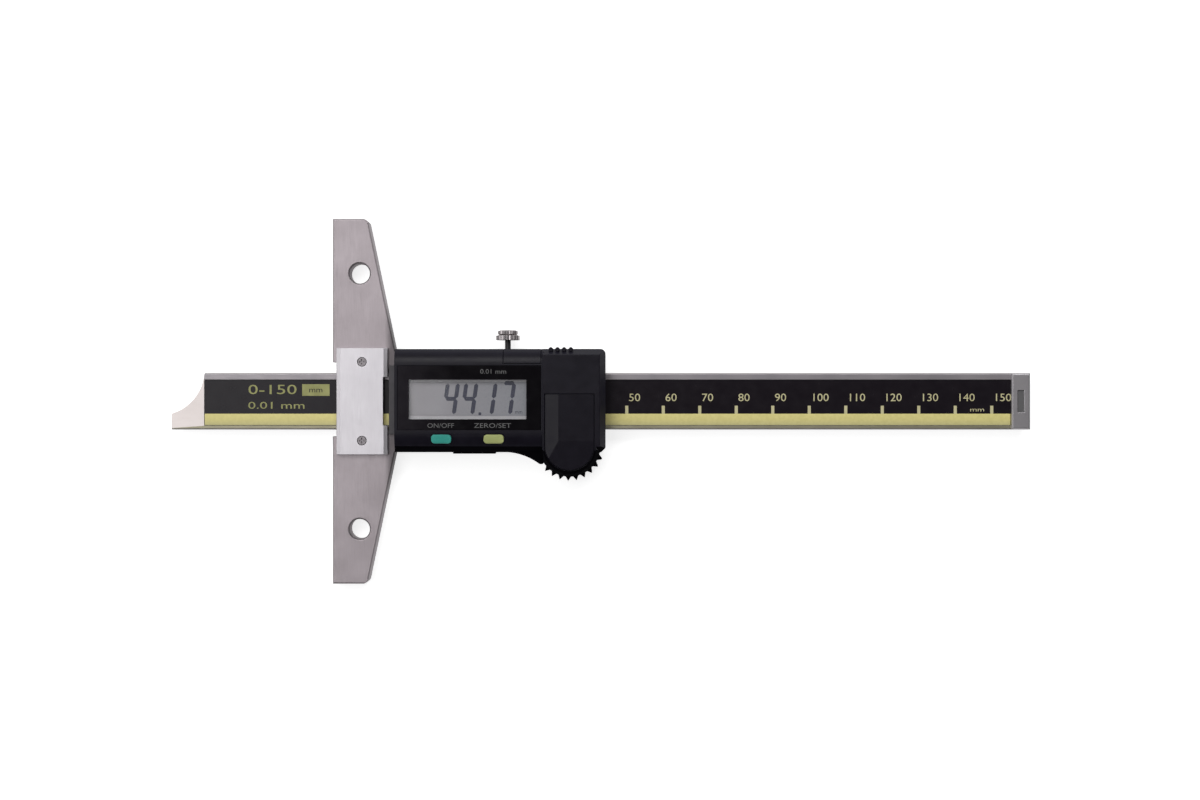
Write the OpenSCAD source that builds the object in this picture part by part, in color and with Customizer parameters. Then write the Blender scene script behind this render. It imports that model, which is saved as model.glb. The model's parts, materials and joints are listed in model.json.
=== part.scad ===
// Digital depth gauge for 0 to 150 mm, lying on its back with the display up.
// X runs along the beam, away from its measuring tip. Y runs along the base. Z leaves the display.
// X is zero on the measuring face of the base, Y on the beam's middle and Z on the back of the base.

/* [Base] */
// Length of the base, across the beam
base_l = 100; // [84:1:130]
// Thickness of the base and of the slider body behind the display
base_t = 6.5; // [6:0.1:8]
// Width of the base at its ends
base_end_w = 10; // [9.8:0.1:14]
// Width of the base beside the housing
base_root_w = 17.1; // [16.6:0.1:22]
// Radius of the base's outer corners
base_corner_r = 1.9; // [0.5:0.1:3]
// Chamfer along the edges of the base
base_chamfer = 0.35; // [0.1:0.05:0.5]
// Width of the relief cut in the middle of the measuring face
relief_w = 20.3; // [18.5:0.1:24]
// Depth of the relief cut in the measuring face
relief_depth = 1.4; // [0.5:0.1:2.2]
// Distance between the two holes for an extension base
hole_spacing = 70; // [50:1:76]
// Distance of those holes from the measuring face
hole_x = 7.4; // [6.5:0.1:8]
// Diameter of those holes
hole_d = 5.5; // [4:0.1:6]
// Chamfer round those holes
hole_chamfer = 0.35; // [0.1:0.05:0.5]

/* [Beam] */
// Length of the beam
beam_l = 235; // [215:1:300]
// Width of the beam
beam_w = 15.5; // [14:0.1:16]
// Thickness of the beam
beam_t = 3.5; // [3:0.1:3.8]
// How far the beam stands out of the measuring face, which is the reading
reading = 44.17; // [0:0.01:150]
// Width of the measuring tip
tip_w = 4.4; // [2:0.1:8]
// Length of the hollow side of the tip
tip_relief_l = 8.97; // [6:0.01:12]
// Radius of the hollow side of the tip
tip_relief_r = 12.4; // [11:0.1:20]
// Chamfer along the beam's front edges
beam_chamfer = 0.3; // [0.1:0.05:0.6]
// Metal left above the scale
beam_rim_up = 1.85; // [1:0.05:2.5]
// Metal left below the scale
beam_rim_down = 1.15; // [0.7:0.05:2]
// Thickness of the capacitive scale strip
strip_t = 0.55; // [0.3:0.05:0.8]
// Thickness of the printed scale cover
scale_cover_t = 0.2; // [0.1:0.05:0.3]
// Length of the end stop along the beam
stop_l = 5.1; // [4.6:0.1:8]
// Height of the end stop above the beam
stop_t = 1.3; // [1.2:0.1:2]

/* [Guide] */
// Running gap round the beam
run_gap = 0.05; // [0.03:0.01:0.08]
// Gap between the beam and the cover plate
plate_gap = 0.35; // [0.2:0.05:0.5]
// Thickness of the gib
gib_t = 1; // [0.8:0.1:1.2]
// Length of the cover plate, across the beam
plate_l = 29.1; // [28:0.1:34]
// Width of the cover plate
plate_w = 14; // [12:0.1:14]
// Thickness of the cover plate
plate_t = 1.8; // [1.4:0.1:2.5]
// Distance of the cover plate from the measuring face
plate_setback = 1.2; // [0.8:0.1:1.4]
// Diameter of the screws that hold the cover plate
plate_screw_d = 1.6; // [1.2:0.1:2]

/* [Housing] */
// Length of the housing along the beam
housing_l = 57.1; // [56.5:0.1:62]
// Reach of the housing above the beam's middle
housing_up = 14.2; // [14:0.1:16]
// Reach of the housing below the beam's middle
housing_down = 13.8; // [13.7:0.1:15.5]
// Height of the display face above the back of the base
housing_t = 15; // [14.6:0.1:17]
// Thickness of the housing's side walls
wall = 1.4; // [1.2:0.1:1.6]
// Width of the slope above the display
slope_up = 4.4; // [4:0.1:4.6]
// Width of the slope below the display
slope_down = 5.9; // [5.7:0.1:6.3]
// Drop of the upper slope at the housing's edge
slope_up_drop = 2.5; // [1.5:0.1:3]
// Drop of the lower slope at the housing's edge
slope_down_drop = 2.8; // [2:0.1:3]
// Length of the block with the battery, at the housing's right end
block_l = 17; // [16.6:0.1:18.5]
// Height of the block above the display face
block_step = 0.4; // [0.2:0.1:1]
// Radius of the round bulge below the block
bulge_r = 8.4; // [8.3:0.1:9.2]
// Distance of the bulge's middle below the beam's middle
bulge_down = 12; // [11.6:0.1:12.6]
// Height of the teeth round the bulge
tooth_h = 1.2; // [0.6:0.1:1.8]

/* [Display] */
// Width of the visible window
window_w = 10.7; // [10:0.1:12]
// Distance from the housing's left end to the window
window_in = 3.9; // [3.5:0.1:4.2]
// Distance from the window to the block
window_end = 4.4; // [4.2:0.1:5]
// Thickness of the clear window
window_t = 1.2; // [0.8:0.1:1.3]
// Thickness of the glossy face sheet
sheet_t = 0.25; // [0.2:0.05:0.4]
// Thickness of the liquid crystal panel
lcd_t = 1.6; // [1.2:0.1:2]
// Thickness of the circuit board
board_t = 1.2; // [0.8:0.1:1.4]

/* [Buttons] */
// Length of a button
button_l = 5.4; // [4:0.1:6]
// Width of a button
button_w = 2.4; // [2:0.1:2.6]
// Height of a button above the slope
button_proud = 0.45; // [0.41:0.01:0.8]
// How far a button can be pressed
button_travel = 0.4; // [0.2:0.05:0.4]

/* [Clamp screw] */
// Distance from the housing's left end to the clamp screw
clamp_in = 30.3; // [28:0.1:31]
// Largest diameter of the clamp screw's head
clamp_head_d = 6.5; // [5:0.1:7]
// Diameter of the clamp screw's thread
clamp_thread_d = 2; // [1.6:0.1:2.2]
// Diameter of the bare neck under the head
clamp_neck_d = 1.6; // [1.2:0.1:1.6]
// Length of the clamp screw's head
clamp_head_l = 2.7; // [2.4:0.1:4]
// Distance from the housing to the head
clamp_head_gap = 2.6; // [1.3:0.1:3]
// Play between the clamp shoe and the beam when the clamp is open
clamp_play = 0.22; // [0.15:0.01:0.4]

/* [Battery] */
// Diameter of the button cell
cell_d = 11.6; // [9.5:0.1:11.6]
// Thickness of the button cell
cell_t = 5.4; // [3.6:0.1:5.4]
// Half width of the battery cover
lid_half_w = 6.6; // [6.3:0.1:6.7]
// Reach of the battery cover above the beam's middle
lid_up = 1.9; // [1:0.1:2.5]

/* [Hidden] */
$fn = 64;

// Overrun of every cut past the face that it opens
over = 1;
// Gap between pieces that are put together by hand
fit = 0.1;
// Gap between a screw and its hole, and between faces that only come near each other
thread_gap = 0.03;

// Where things lie along Z
beam_z0 = base_t - plate_gap - beam_t;
beam_z1 = beam_z0 + beam_t;
channel_z = beam_z0 - run_gap;
beam_mid_z = (beam_z0 + beam_z1) / 2;
board_top = base_t + board_t;

// Where things lie along Y
beam_half = beam_w / 2;
channel_down = beam_half + run_gap;
gib_y0 = beam_half + run_gap;
gib_y1 = gib_y0 + gib_t;
channel_up = gib_y1 + run_gap;
slider_side_gap = 0.3;
slider_half = housing_down - wall - slider_side_gap;
upper_wall_mid = (channel_up + slider_half) / 2;
lower_wall_mid = -(channel_down + slider_half) / 2;

// Where things lie along X
beam_x0 = -reading;
beam_x1 = beam_l - reading;
shoulder_x = beam_x0 + tip_relief_l;
stop_x = beam_x1 - stop_l;
housing_gap = 0.5;
housing_x0 = base_root_w + housing_gap;
housing_x1 = housing_x0 + housing_l;
block_x0 = housing_x1 - block_l;
end_gap = 0.2;
slider_x1 = housing_x1 - wall - end_gap;

// The base's own small sizes
corner_steps = 6;
slope_angle = atan2(base_root_w - base_end_w, base_l / 2 - housing_up);

// The beam's own small sizes
cover_sunk = 0.05;
groove_z = beam_z1 - cover_sunk - scale_cover_t - strip_t;
stop_chamfer = 0.4;
stop_recess = [1.8, 6, 0.4];
stop_screw_d = 1.4;
stop_screw_head_d = 2.4;
stop_screw_head_h = 0.9;
stop_screw_y = 4.6;
stop_screw_bite = 0.9;

// Shape of the cross in a screw's head, as shares of the head
cross_reach_share = 0.34;
cross_half_share = 0.09;
cross_depth_share = 0.55;

// The cover plate's own small sizes
plate_bevel_w = 1.1;
plate_bevel_h = 0.33;
plate_notch_depth = 1.2;
plate_notch_w = 13.2;
plate_x0 = plate_setback;
plate_x1 = plate_setback + plate_w;
plate_screw_x = plate_setback + plate_w / 2;
plate_screw_y = 10.75;
plate_head_d = 2.3;
plate_head_h = 0.9;
plate_screw_bite = 3.6;

// The gib's own small sizes
gib_end_gap = 1.7;
gib_x0 = housing_x0 + gib_end_gap;
gib_x1 = slider_x1 - end_gap;
gib_screw_d = 1.6;
gib_screw_in = 10.4;
gib_screw_end = 7.1;
gib_screw_slot = 0.35;
gib_screw_sunk = 0.3;
gib_screw_xs = [housing_x0 + gib_screw_in, slider_x1 - gib_screw_end];

// The clamp's own small sizes
clamp_x = housing_x0 + clamp_in;
clamp_shoe_l = 2.3;
clamp_shoe_y0 = beam_half + clamp_play;
clamp_shoe_y1 = clamp_shoe_y0 + clamp_shoe_l;
clamp_tip_y = clamp_shoe_y1 + thread_gap;
clamp_neck_y = slider_half + thread_gap;
clamp_head_y = housing_up + clamp_head_gap;
clamp_hole_gap = 0.3;
clamp_top_share = 0.84;
clamp_rim_share = 0.46;
clamp_crown_share = 0.6;
knurl_count = 24;
knurl_depth = 0.18;

// The housing's own small sizes
housing_z0 = 0.4;
front_wall = 1.85;
slope_wall = 1.55;
lid_wall = 1.2;
block_corner_r = 1.4;
block_slope_start = 10.7;
block_slope_drop = 0.9;
block_seam = 0.2;
block_edge_w = 1.6;
block_edge_drop = 2.3;
bulge_edge_w = 1.3;
block_facet = 1.2;
facet_inset_share = 2 - sqrt(2);
inner_corner_r = 0.3;
shoulder_steps = 7;
lid_in = 0.65;
bulge_x = block_x0 + lid_in + lid_half_w;
bulge_y = -bulge_down;
flare_r = 16.3;
flare_l = 10.7;
flare_x = block_x0 - flare_l;
flare_rise = 0.05;
flare_reach_share = 0.6;
tooth_count = 9;
tooth_pitch = 13.9;
tooth_start = -134;
tooth_w = 1.9;
tooth_sunk = 0.4;
grip_count = 4;
grip_spacing = 1.8;
grip_w = 1.2;
grip_h = 0.45;
grip_top_drop = 0.9;
grip_in = 2.2;
tab_in = 15.2;
tab_l = 11.7;
tab_h = 0.6;
tab_t = 4.2;
lip_t = 1.1;
lip_up = 9.8;
lip_down = 9;
lip_gap = 0.3;
lip_x0 = plate_x1 + lip_gap;
housing_slot_gap = 0.3;
boss_r = 2;
housing_screw_d = 1.6;
housing_head_d = 2.6;
housing_head_h = 1.1;
housing_head_sunk = 0.2;
housing_screw_bite = 4;
housing_screw_in = 4.3;
block_screw_in = 4.9;
lower_screw_in = 5;
flat_up = housing_up - slope_up;
flat_down = housing_down - slope_down;
block_top = housing_t + block_step;
tooth_top = block_top - block_edge_drop - tooth_sunk;
far_up = housing_up + grip_h + over;
far_down = bulge_y - bulge_r - tooth_h - over;

// The display's own small sizes
window_x0 = housing_x0 + window_in;
window_x1 = block_x0 - window_end;
window_l = window_x1 - window_x0;
window_mid_x = (window_x0 + window_x1) / 2;
window_mid_y = 0.5;
window_rim = [1.2, 1.1];
sheet_edge = [1, 0.2];
sheet_end = 0.5;
lcd_rim = [1.2, 1];
lcd_gap = 0.05;
lcd_z1 = housing_t - front_wall - lcd_gap;
lcd_z0 = lcd_z1 - lcd_t;
holder_wall = 0.8;
holder_ledge = 0.8;
holder_floor_t = 1.1;
holder_post = 1.6;
connector_w = 1.6;
connector_in = 1;
connector_end = 1.4;

// The board's own small sizes
board_gap = 0.2;
board_end = 0.7;
board_x0 = housing_x0 + wall + board_gap;
board_x1 = block_x0 - board_end;
board_edge = 0.3;
board_hole_d = 2;
chip_size = [8, 6.4, 1.2];
chip_foot_count = 8;
chip_foot = [0.45, 0.9, 0.25];
switch_size = [3.6, 3, 1.2];
plunger_d = 1.6;
plunger_l = 0.5;
crystal_d = 1.8;
crystal_l = 5.6;
capacitor_size = [1.6, 0.8, 0.8];
capacitor_spacing = 2.2;
part_gap = 0.9;

// The buttons' own small sizes
button_below_flat = 2.3;
button_y = -(flat_down + button_below_flat);
power_place_share = 0.277;
zero_place_share = 0.723;
power_x = window_x0 + window_l * power_place_share;
zero_x = window_x0 + window_l * zero_place_share;
button_corner_r = 0.9;
button_flange = 0.6;
button_flange_t = 0.5;
collar_wall = 0.8;
collar_z0 = 11.6;
button_stem_d = 1.8;
button_stop_gap = 0.05;
button_fit = 0.12;

// The battery's own small sizes
cell_lip = 1.2;
cell_step = 0.3;
well_gap = 0.2;
well_r = cell_d / 2 + well_gap;
well_wall = 1.5;
well_floor_t = 0.8;
well_floor_z = board_top - well_gap;
contact_t = 0.25;
contact_w = 2;
cell_z0 = board_top + contact_t + thread_gap;
cell_z1 = cell_z0 + cell_t;
lid_z0 = cell_z1 + well_gap;
lid_raise = 0.3;
lid_bevel_w = 3.6;
lid_bevel_h = 0.6;
contact_in = 1.3;
minus_above = 4.1;
minus_y = bulge_y + minus_above;
minus_reach = 1;
plus_above = 0.6;
plus_y = bulge_y + plus_above;
plus_leaf_w = 3.4;
plus_leaf_h = 4.6;
slot_gap = 0.2;
bulge_cover_t = 1.2;
bulge_cover_z = 0.6;
bulge_screw_d = 1.4;
bulge_screw_head_d = 2.2;
bulge_screw_head_h = 0.5;
bulge_screw_bite = 2.6;
bulge_screw_dx = 4;
bulge_screw_dy = 3.4;
bulge_boss_r = 1.6;

// The data port's own small sizes
port_l = 10.3;
port_end = 0.4;
port_below_edge = 0.4;
port_x1 = block_x0 - port_end;
port_x0 = port_x1 - port_l;
port_y0 = flat_up + port_below_edge;
port_z0 = 10.4;
port_wall = 0.8;
plug_in = 1.8;
plug_below_edge = 0.4;
connector_block_w = 2;
connector_block_gap = 0.2;
pin_count = 6;
pin_spacing = 1;
pin_size = [0.45, 1.4, 0.15];

// A box between two opposite corners
module block(low, high) {
    translate(low) cube(high - low);
}

// An outline drawn in Y and Z, carried along X from one place to another
module along_x(x0, x1) {
    translate([x0, 0, 0]) rotate([90, 0, 90]) linear_extrude(x1 - x0) children();
}

// A round bar along Y
module bar_y(x, z, d, y0, y1) {
    translate([x, y1, z]) rotate([90, 0, 0]) cylinder(d = d, h = y1 - y0);
}

// A four-sided cutter that leaves a chamfer w wide and drop high along the edge from p to q
module edge_cut(p, q, z, w, drop) {
    run = norm(q - p);
    translate([p[0], p[1], z])
        rotate([0, 0, atan2(q[1] - p[1], q[0] - p[0])])
            along_x(-w, run + w)
                polygon([[w, 0], [0, drop], [-w, 0], [0, -drop]]);
}

// A screw along Z: its head starts at zero and its shank runs on upwards
module screw_up(head_d, head_h, shank_d, shank_l) {
    difference() {
        union() {
            cylinder(d = head_d, h = head_h);
            cylinder(d = shank_d, h = head_h + shank_l);
        }
        for (turn = [0, 90])
            rotate([0, 0, turn])
                block([-head_d * cross_reach_share, -head_d * cross_half_share, -over],
                    [head_d * cross_reach_share, head_d * cross_half_share, head_h * cross_depth_share]);
    }
}

// The same screw with its head up: the top of its head is at zero
module screw_down(head_d, head_h, shank_d, shank_l) {
    mirror([0, 0, 1]) screw_up(head_d, head_h, shank_d, shank_l);
}

// A flat outline with round corners
module round_outline(l, w, r) {
    hull()
        for (x = [-1, 1], y = [-1, 1])
            translate([x * (l / 2 - r), y * (w / 2 - r)]) circle(r, $fn = 32);
}

// One half of the base's outline, from the beam's middle round to the end of the slider body
function base_half() = concat(
    [[0, base_l / 2]],
    [for (i = [0:corner_steps])
        let (a = 90 - (90 - slope_angle) * i / corner_steps)
            [base_end_w - base_corner_r + base_corner_r * cos(a),
             base_l / 2 - base_corner_r + base_corner_r * sin(a)]],
    [[base_root_w, housing_up], [base_root_w, slider_half], [slider_x1, slider_half]]);

function flip(points) = [for (i = [len(points) - 1:-1:0]) [points[i][0], -points[i][1]]];

module base() {
    half = base_half();
    slope_top = half[corner_steps + 1];
    slope_foot = half[corner_steps + 2];
    color("silver") difference() {
        linear_extrude(base_t) polygon(concat(half, flip(half)));
        // The channel for the beam and the gib
        block([-over, -channel_down, channel_z], [slider_x1 + over, channel_up, base_t + over]);
        // The relief in the measuring face
        translate([-over, (channel_up - channel_down - relief_w) / 2, -over])
            cube([over + relief_depth, relief_w, base_t + 2 * over]);
        // The holes for an extension base
        for (side = [-1, 1])
            translate([hole_x, side * hole_spacing / 2, 0]) {
                translate([0, 0, -over]) cylinder(d = hole_d, h = base_t + 2 * over);
                for (end = [0, 1])
                    translate([0, 0, end * base_t]) mirror([0, 0, end])
                        translate([0, 0, -hole_chamfer])
                            cylinder(d1 = hole_d + 4 * hole_chamfer, d2 = hole_d, h = 2 * hole_chamfer);
            }
        // Chamfers along the long edges, front and back
        for (z = [0, base_t], side = [-1, 1]) {
            edge_cut([0, side * relief_w / 2], [0, side * base_l / 2], z, base_chamfer, base_chamfer);
            edge_cut([0, side * base_l / 2], [half[1][0], side * base_l / 2], z, base_chamfer, base_chamfer);
            edge_cut([slope_top[0], side * slope_top[1]], [slope_foot[0], side * slope_foot[1]], z,
                base_chamfer, base_chamfer);
        }
        // Tapped holes under the cover plate
        for (side = [-1, 1])
            translate([plate_screw_x, side * plate_screw_y, base_t - plate_screw_bite])
                cylinder(d = plate_screw_d + 2 * thread_gap, h = plate_screw_bite + over);
        // Bores for the gib screws and the clamp
        for (x = gib_screw_xs)
            bar_y(x, beam_mid_z, gib_screw_d + 2 * thread_gap, channel_up - over, slider_half + over);
        bar_y(clamp_x, beam_mid_z, clamp_thread_d + 2 * thread_gap, channel_up - over, slider_half + over);
        // Holes for the housing screws, with room for their heads at the back
        for (place = housing_screw_places()) {
            translate([place[0], place[1], -over])
                cylinder(d = housing_screw_d + 2 * fit, h = base_t + 2 * over);
            translate([place[0], place[1], -over])
                cylinder(d = housing_head_d + 2 * fit, h = over + housing_head_h + housing_head_sunk);
        }
    }
}

function housing_screw_places() = [
    [housing_x0 + housing_screw_in, upper_wall_mid],
    [housing_x0 + housing_screw_in, lower_wall_mid],
    [housing_x1 - block_screw_in, upper_wall_mid],
    [block_x0 - lower_screw_in, lower_wall_mid]];

// Where a housing screw enters its boss: on the board, or on the base beside it
function housing_screw_seat(place) = place[0] < board_x1 ? board_top : base_t;

module cover_plate() {
    color("gainsboro") difference() {
        translate([0, plate_l / 2, 0]) rotate([90, 0, 0]) linear_extrude(plate_l)
            polygon([[plate_x0, base_t], [plate_x1, base_t],
                [plate_x1, base_t + plate_t - plate_bevel_h], [plate_x1 - plate_bevel_w, base_t + plate_t],
                [plate_x0 + plate_bevel_w, base_t + plate_t], [plate_x0, base_t + plate_t - plate_bevel_h]]);
        block([plate_x1 - plate_notch_depth, -plate_notch_w / 2, base_t - over],
            [plate_x1 + over, plate_notch_w / 2, base_t + plate_t + over]);
        for (side = [-1, 1])
            translate([plate_screw_x, side * plate_screw_y, base_t]) {
                translate([0, 0, -over]) cylinder(d = plate_screw_d + 2 * fit, h = plate_t + 2 * over);
                translate([0, 0, plate_t - plate_head_h])
                    cylinder(d = plate_head_d + 2 * fit, h = plate_head_h + over);
            }
    }
}

module cover_plate_screws() {
    color("dimgray") for (side = [-1, 1])
        translate([plate_screw_x, side * plate_screw_y, base_t + plate_t])
            screw_down(plate_head_d, plate_head_h, plate_screw_d, plate_screw_bite);
}

module gib() {
    color("darkgoldenrod") difference() {
        block([gib_x0, gib_y0, beam_z0], [gib_x1, gib_y1, beam_z1]);
        bar_y(clamp_x, beam_mid_z, clamp_thread_d + 2 * fit, gib_y0 - over, gib_y1 + over);
    }
}

module gib_screws() {
    screw_y1 = slider_half - gib_screw_sunk;
    color("slategray") for (x = gib_screw_xs)
        difference() {
            bar_y(x, beam_mid_z, gib_screw_d, gib_y1, screw_y1);
            block([x - gib_screw_d, screw_y1 - gib_screw_slot, beam_mid_z - gib_screw_slot / 2],
                [x + gib_screw_d, screw_y1 + over, beam_mid_z + gib_screw_slot / 2]);
        }
}

module clamp_shoe() {
    color("goldenrod")
        bar_y(clamp_x, beam_mid_z, clamp_thread_d - 2 * thread_gap, clamp_shoe_y0, clamp_shoe_y1);
}

// Points of a knurled outline: ridges of radius r with grooves between them
function knurled(r) = [for (i = [0:2 * knurl_count - 1])
    let (a = i * 180 / knurl_count, at = i % 2 == 0 ? r : r - knurl_depth) at * [cos(a), sin(a)]];

module clamp_screw() {
    rim_r = clamp_head_d / 2;
    crown_r = rim_r * clamp_top_share;
    rim_h = clamp_head_l * clamp_rim_share;
    crown_z = clamp_head_l * clamp_crown_share;
    color("silver") translate([clamp_x, 0, beam_mid_z]) rotate([-90, 0, 0]) {
        translate([0, 0, clamp_tip_y]) cylinder(d = clamp_thread_d, h = clamp_neck_y - clamp_tip_y);
        translate([0, 0, clamp_neck_y]) cylinder(d = clamp_neck_d, h = clamp_head_y - clamp_neck_y);
        translate([0, 0, clamp_head_y]) {
            linear_extrude(rim_h) polygon(knurled(rim_r));
            translate([0, 0, rim_h])
                cylinder(r1 = rim_r - 2 * knurl_depth, r2 = crown_r - 2 * knurl_depth, h = crown_z - rim_h);
            translate([0, 0, crown_z])
                linear_extrude(clamp_head_l - knurl_depth - crown_z) polygon(knurled(crown_r));
            translate([0, 0, clamp_head_l - knurl_depth])
                cylinder(r1 = crown_r - 2 * knurl_depth, r2 = crown_r - 3 * knurl_depth, h = knurl_depth);
        }
    }
}

// Middle of the circle through p and q that lies on their left
function circle_middle(p, q, r) =
    let (half = (q - p) / 2, back = sqrt(r * r - half * half) / norm(half))
        p + half + [-half[1], half[0]] * back;

module beam() {
    tip_corner = [beam_x0, tip_w - beam_half];
    shoulder = [shoulder_x, beam_half];
    hollow = circle_middle(tip_corner, shoulder, tip_relief_r);
    color("silver") difference() {
        along_x(beam_x0, beam_x1)
            polygon([[-beam_half, beam_z0], [beam_half, beam_z0],
                [beam_half, beam_z1 - beam_chamfer], [beam_half - beam_chamfer, beam_z1],
                [-beam_half + beam_chamfer, beam_z1], [-beam_half, beam_z1 - beam_chamfer]]);
        // The groove for the scale
        block([shoulder_x, -beam_half + beam_rim_down, groove_z],
            [stop_x, beam_half - beam_rim_up, beam_z1 + over]);
        // The hollow side of the tip
        translate([hollow[0], hollow[1], beam_z0 - over])
            cylinder(r = tip_relief_r, h = beam_t + 2 * over, $fn = 128);
        // Holes for the end stop's screws, with room for their heads at the back
        for (side = [-1, 1])
            translate([stop_x + stop_l / 2, side * stop_screw_y, beam_z0 - over]) {
                cylinder(d = stop_screw_d + 2 * fit, h = beam_t + 2 * over);
                cylinder(d = stop_screw_head_d + 2 * fit, h = over + stop_screw_head_h);
            }
    }
}

module scale_strip() {
    color("darkolivegreen") block([shoulder_x + fit, -beam_half + beam_rim_down + fit, groove_z],
        [stop_x - fit, beam_half - beam_rim_up - fit, groove_z + strip_t]);
}

module scale_cover() {
    cover_z1 = beam_z1 - cover_sunk;
    color("black") block([shoulder_x + fit, -beam_half + beam_rim_down + fit, cover_z1 - scale_cover_t],
        [stop_x - fit, beam_half - beam_rim_up - fit, cover_z1]);
}

module end_stop() {
    stop_z1 = beam_z1 + stop_t;
    mid_x = stop_x + stop_l / 2;
    color("gray") difference() {
        along_x(stop_x, beam_x1)
            polygon([[-beam_half, beam_z1], [beam_half, beam_z1],
                [beam_half, stop_z1 - stop_chamfer], [beam_half - stop_chamfer, stop_z1],
                [-beam_half + stop_chamfer, stop_z1], [-beam_half, stop_z1 - stop_chamfer]]);
        for (x = [stop_x, beam_x1])
            edge_cut([x, -beam_half], [x, beam_half], stop_z1, stop_chamfer, stop_chamfer);
        translate([mid_x - stop_recess[0] / 2, -stop_recess[1] / 2, stop_z1 - stop_recess[2]])
            cube([stop_recess[0], stop_recess[1], stop_recess[2] + over]);
        for (side = [-1, 1])
            translate([mid_x, side * stop_screw_y, beam_z1 - over])
                cylinder(d = stop_screw_d + 2 * thread_gap, h = over + stop_screw_bite);
    }
}

module end_stop_screws() {
    color("dimgray") for (side = [-1, 1])
        translate([stop_x + stop_l / 2, side * stop_screw_y, beam_z0])
            screw_up(stop_screw_head_d, stop_screw_head_h, stop_screw_d,
                beam_t - stop_screw_head_h + stop_screw_bite - thread_gap);
}

// Outline of the housing's straight part from x0 to its right end, moved inwards by inset
module straight_outline(x0, inset) {
    right = housing_x1 - inset;
    up = housing_up - inset;
    down = -housing_down + inset;
    r = max(block_corner_r - inset, inner_corner_r);
    facet = block_facet - inset * facet_inset_share;
    polygon(concat(
        [[x0, down], [right - facet, down], [right, down + facet]],
        [for (i = [0:corner_steps])
            let (a = 90 * i / corner_steps) [right - r + r * cos(a), up - r + r * sin(a)]],
        [[x0, up]]));
}

// Outline of the whole housing, moved inwards by inset
module housing_outline(inset) {
    r = bulge_r - inset;
    straight_outline(housing_x0 + inset, inset);
    translate([bulge_x, bulge_y]) circle(r);
    difference() {
        block_2d([flare_x, bulge_y - r * flare_reach_share],
            [bulge_x - r * flare_reach_share, -housing_down + inset + over]);
        translate([flare_x, -housing_down - flare_r + flare_rise]) circle(flare_r + inset, $fn = 128);
    }
}

// A rectangle between two opposite corners
module block_2d(low, high) {
    translate(low) square(high - low);
}

// Serrations for the fingers round the bulge
module bulge_teeth() {
    translate([bulge_x, bulge_y])
        for (i = [0:tooth_count - 1])
            rotate(tooth_start + i * tooth_pitch)
                polygon([[bulge_r - tooth_sunk, -tooth_w / 2], [bulge_r + tooth_h, 0],
                    [bulge_r - tooth_sunk, tooth_w / 2]]);
}

// Ribs for the fingers along the upper side of the block
module grip_ribs() {
    for (i = [0:grip_count - 1])
        translate([block_x0 + grip_in + i * grip_spacing, housing_up + grip_h - grip_w / 2])
            circle(d = grip_w, $fn = 24);
}

// Drop of a rounded shoulder at a distance from the flat that it starts from
function shoulder(reach, drop, at) =
    let (r = (reach * reach + drop * drop) / (2 * drop), near = min(at, reach))
        r - sqrt(r * r - near * near);

// Height of the display part's outer surface at a place along Y
function display_z(y) = housing_t -
    (y > flat_up ? shoulder(slope_up, slope_up_drop, y - flat_up) :
    y < -flat_down ? shoulder(slope_down, slope_down_drop, -y - flat_down) : 0);

// Section of the display part in Y and Z, lowered by drop
module display_section(drop) {
    ys = concat([far_up],
        [for (i = [shoulder_steps:-1:0]) flat_up + slope_up * i / shoulder_steps],
        [for (i = [0:shoulder_steps]) -flat_down - slope_down * i / shoulder_steps],
        [far_down]);
    polygon(concat([[far_up, -over]], [for (y = ys) [y, display_z(y) - drop]], [[far_down, -over]]));
}

// Height of the block's outer surface at a place along Y
function block_z(y) =
    let (slope_l = bulge_down + bulge_r - block_slope_start, past = max(-y - block_slope_start, 0))
        block_top - block_slope_drop * past / slope_l;

// Section of the block in Y and Z, moved up by raise
module block_section(raise) {
    polygon([[far_up, -over], [far_up, block_top + raise], [-block_slope_start, block_top + raise],
        [far_down, block_z(far_down) + raise], [far_down, -over]]);
}

// The block's outside, with a steep slope along its edges
module block_outside() {
    corner = [housing_x1 - block_corner_r, housing_up - block_corner_r];
    edge_z = block_top - block_edge_drop;
    facet = [[housing_x1, block_facet - housing_down], [housing_x1 - block_facet, -housing_down]];
    intersection() {
        union() {
            difference() {
                translate([0, 0, housing_z0])
                    linear_extrude(block_top - housing_z0) straight_outline(block_x0, 0);
                edge_cut([block_x0, housing_up], [housing_x1, housing_up], block_top,
                    block_edge_w, block_edge_drop);
                edge_cut([block_x0, -housing_down], facet[1], block_top, block_edge_w, block_edge_drop);
                edge_cut(facet[1], facet[0], block_top, block_edge_w, block_edge_drop);
                edge_cut(facet[0], [housing_x1, housing_up], block_top, block_edge_w, block_edge_drop);
                difference() {
                    block([corner[0], corner[1], edge_z],
                        [housing_x1 + over, housing_up + over, block_top + over]);
                    translate([corner[0], corner[1], edge_z])
                        cylinder(r1 = block_corner_r, r2 = 0,
                            h = block_corner_r * block_edge_drop / block_edge_w);
                }
            }
            translate([bulge_x, bulge_y, housing_z0]) cylinder(r = bulge_r, h = edge_z - housing_z0);
            translate([bulge_x, bulge_y, edge_z])
                cylinder(r1 = bulge_r, r2 = bulge_r - bulge_edge_w, h = block_edge_drop);
        }
        along_x(block_x0, housing_x1 + over) block_section(0);
    }
}

// The housing's outside, without its hollow
module housing_outside() {
    intersection() {
        translate([0, 0, housing_z0]) linear_extrude(housing_t) housing_outline(0);
        along_x(housing_x0 - over, block_x0) display_section(0);
    }
    block_outside();
    translate([0, 0, housing_z0]) linear_extrude(tooth_top - housing_z0) bulge_teeth();
    translate([0, 0, housing_z0]) linear_extrude(block_top - grip_top_drop - housing_z0) grip_ribs();
}

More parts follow.
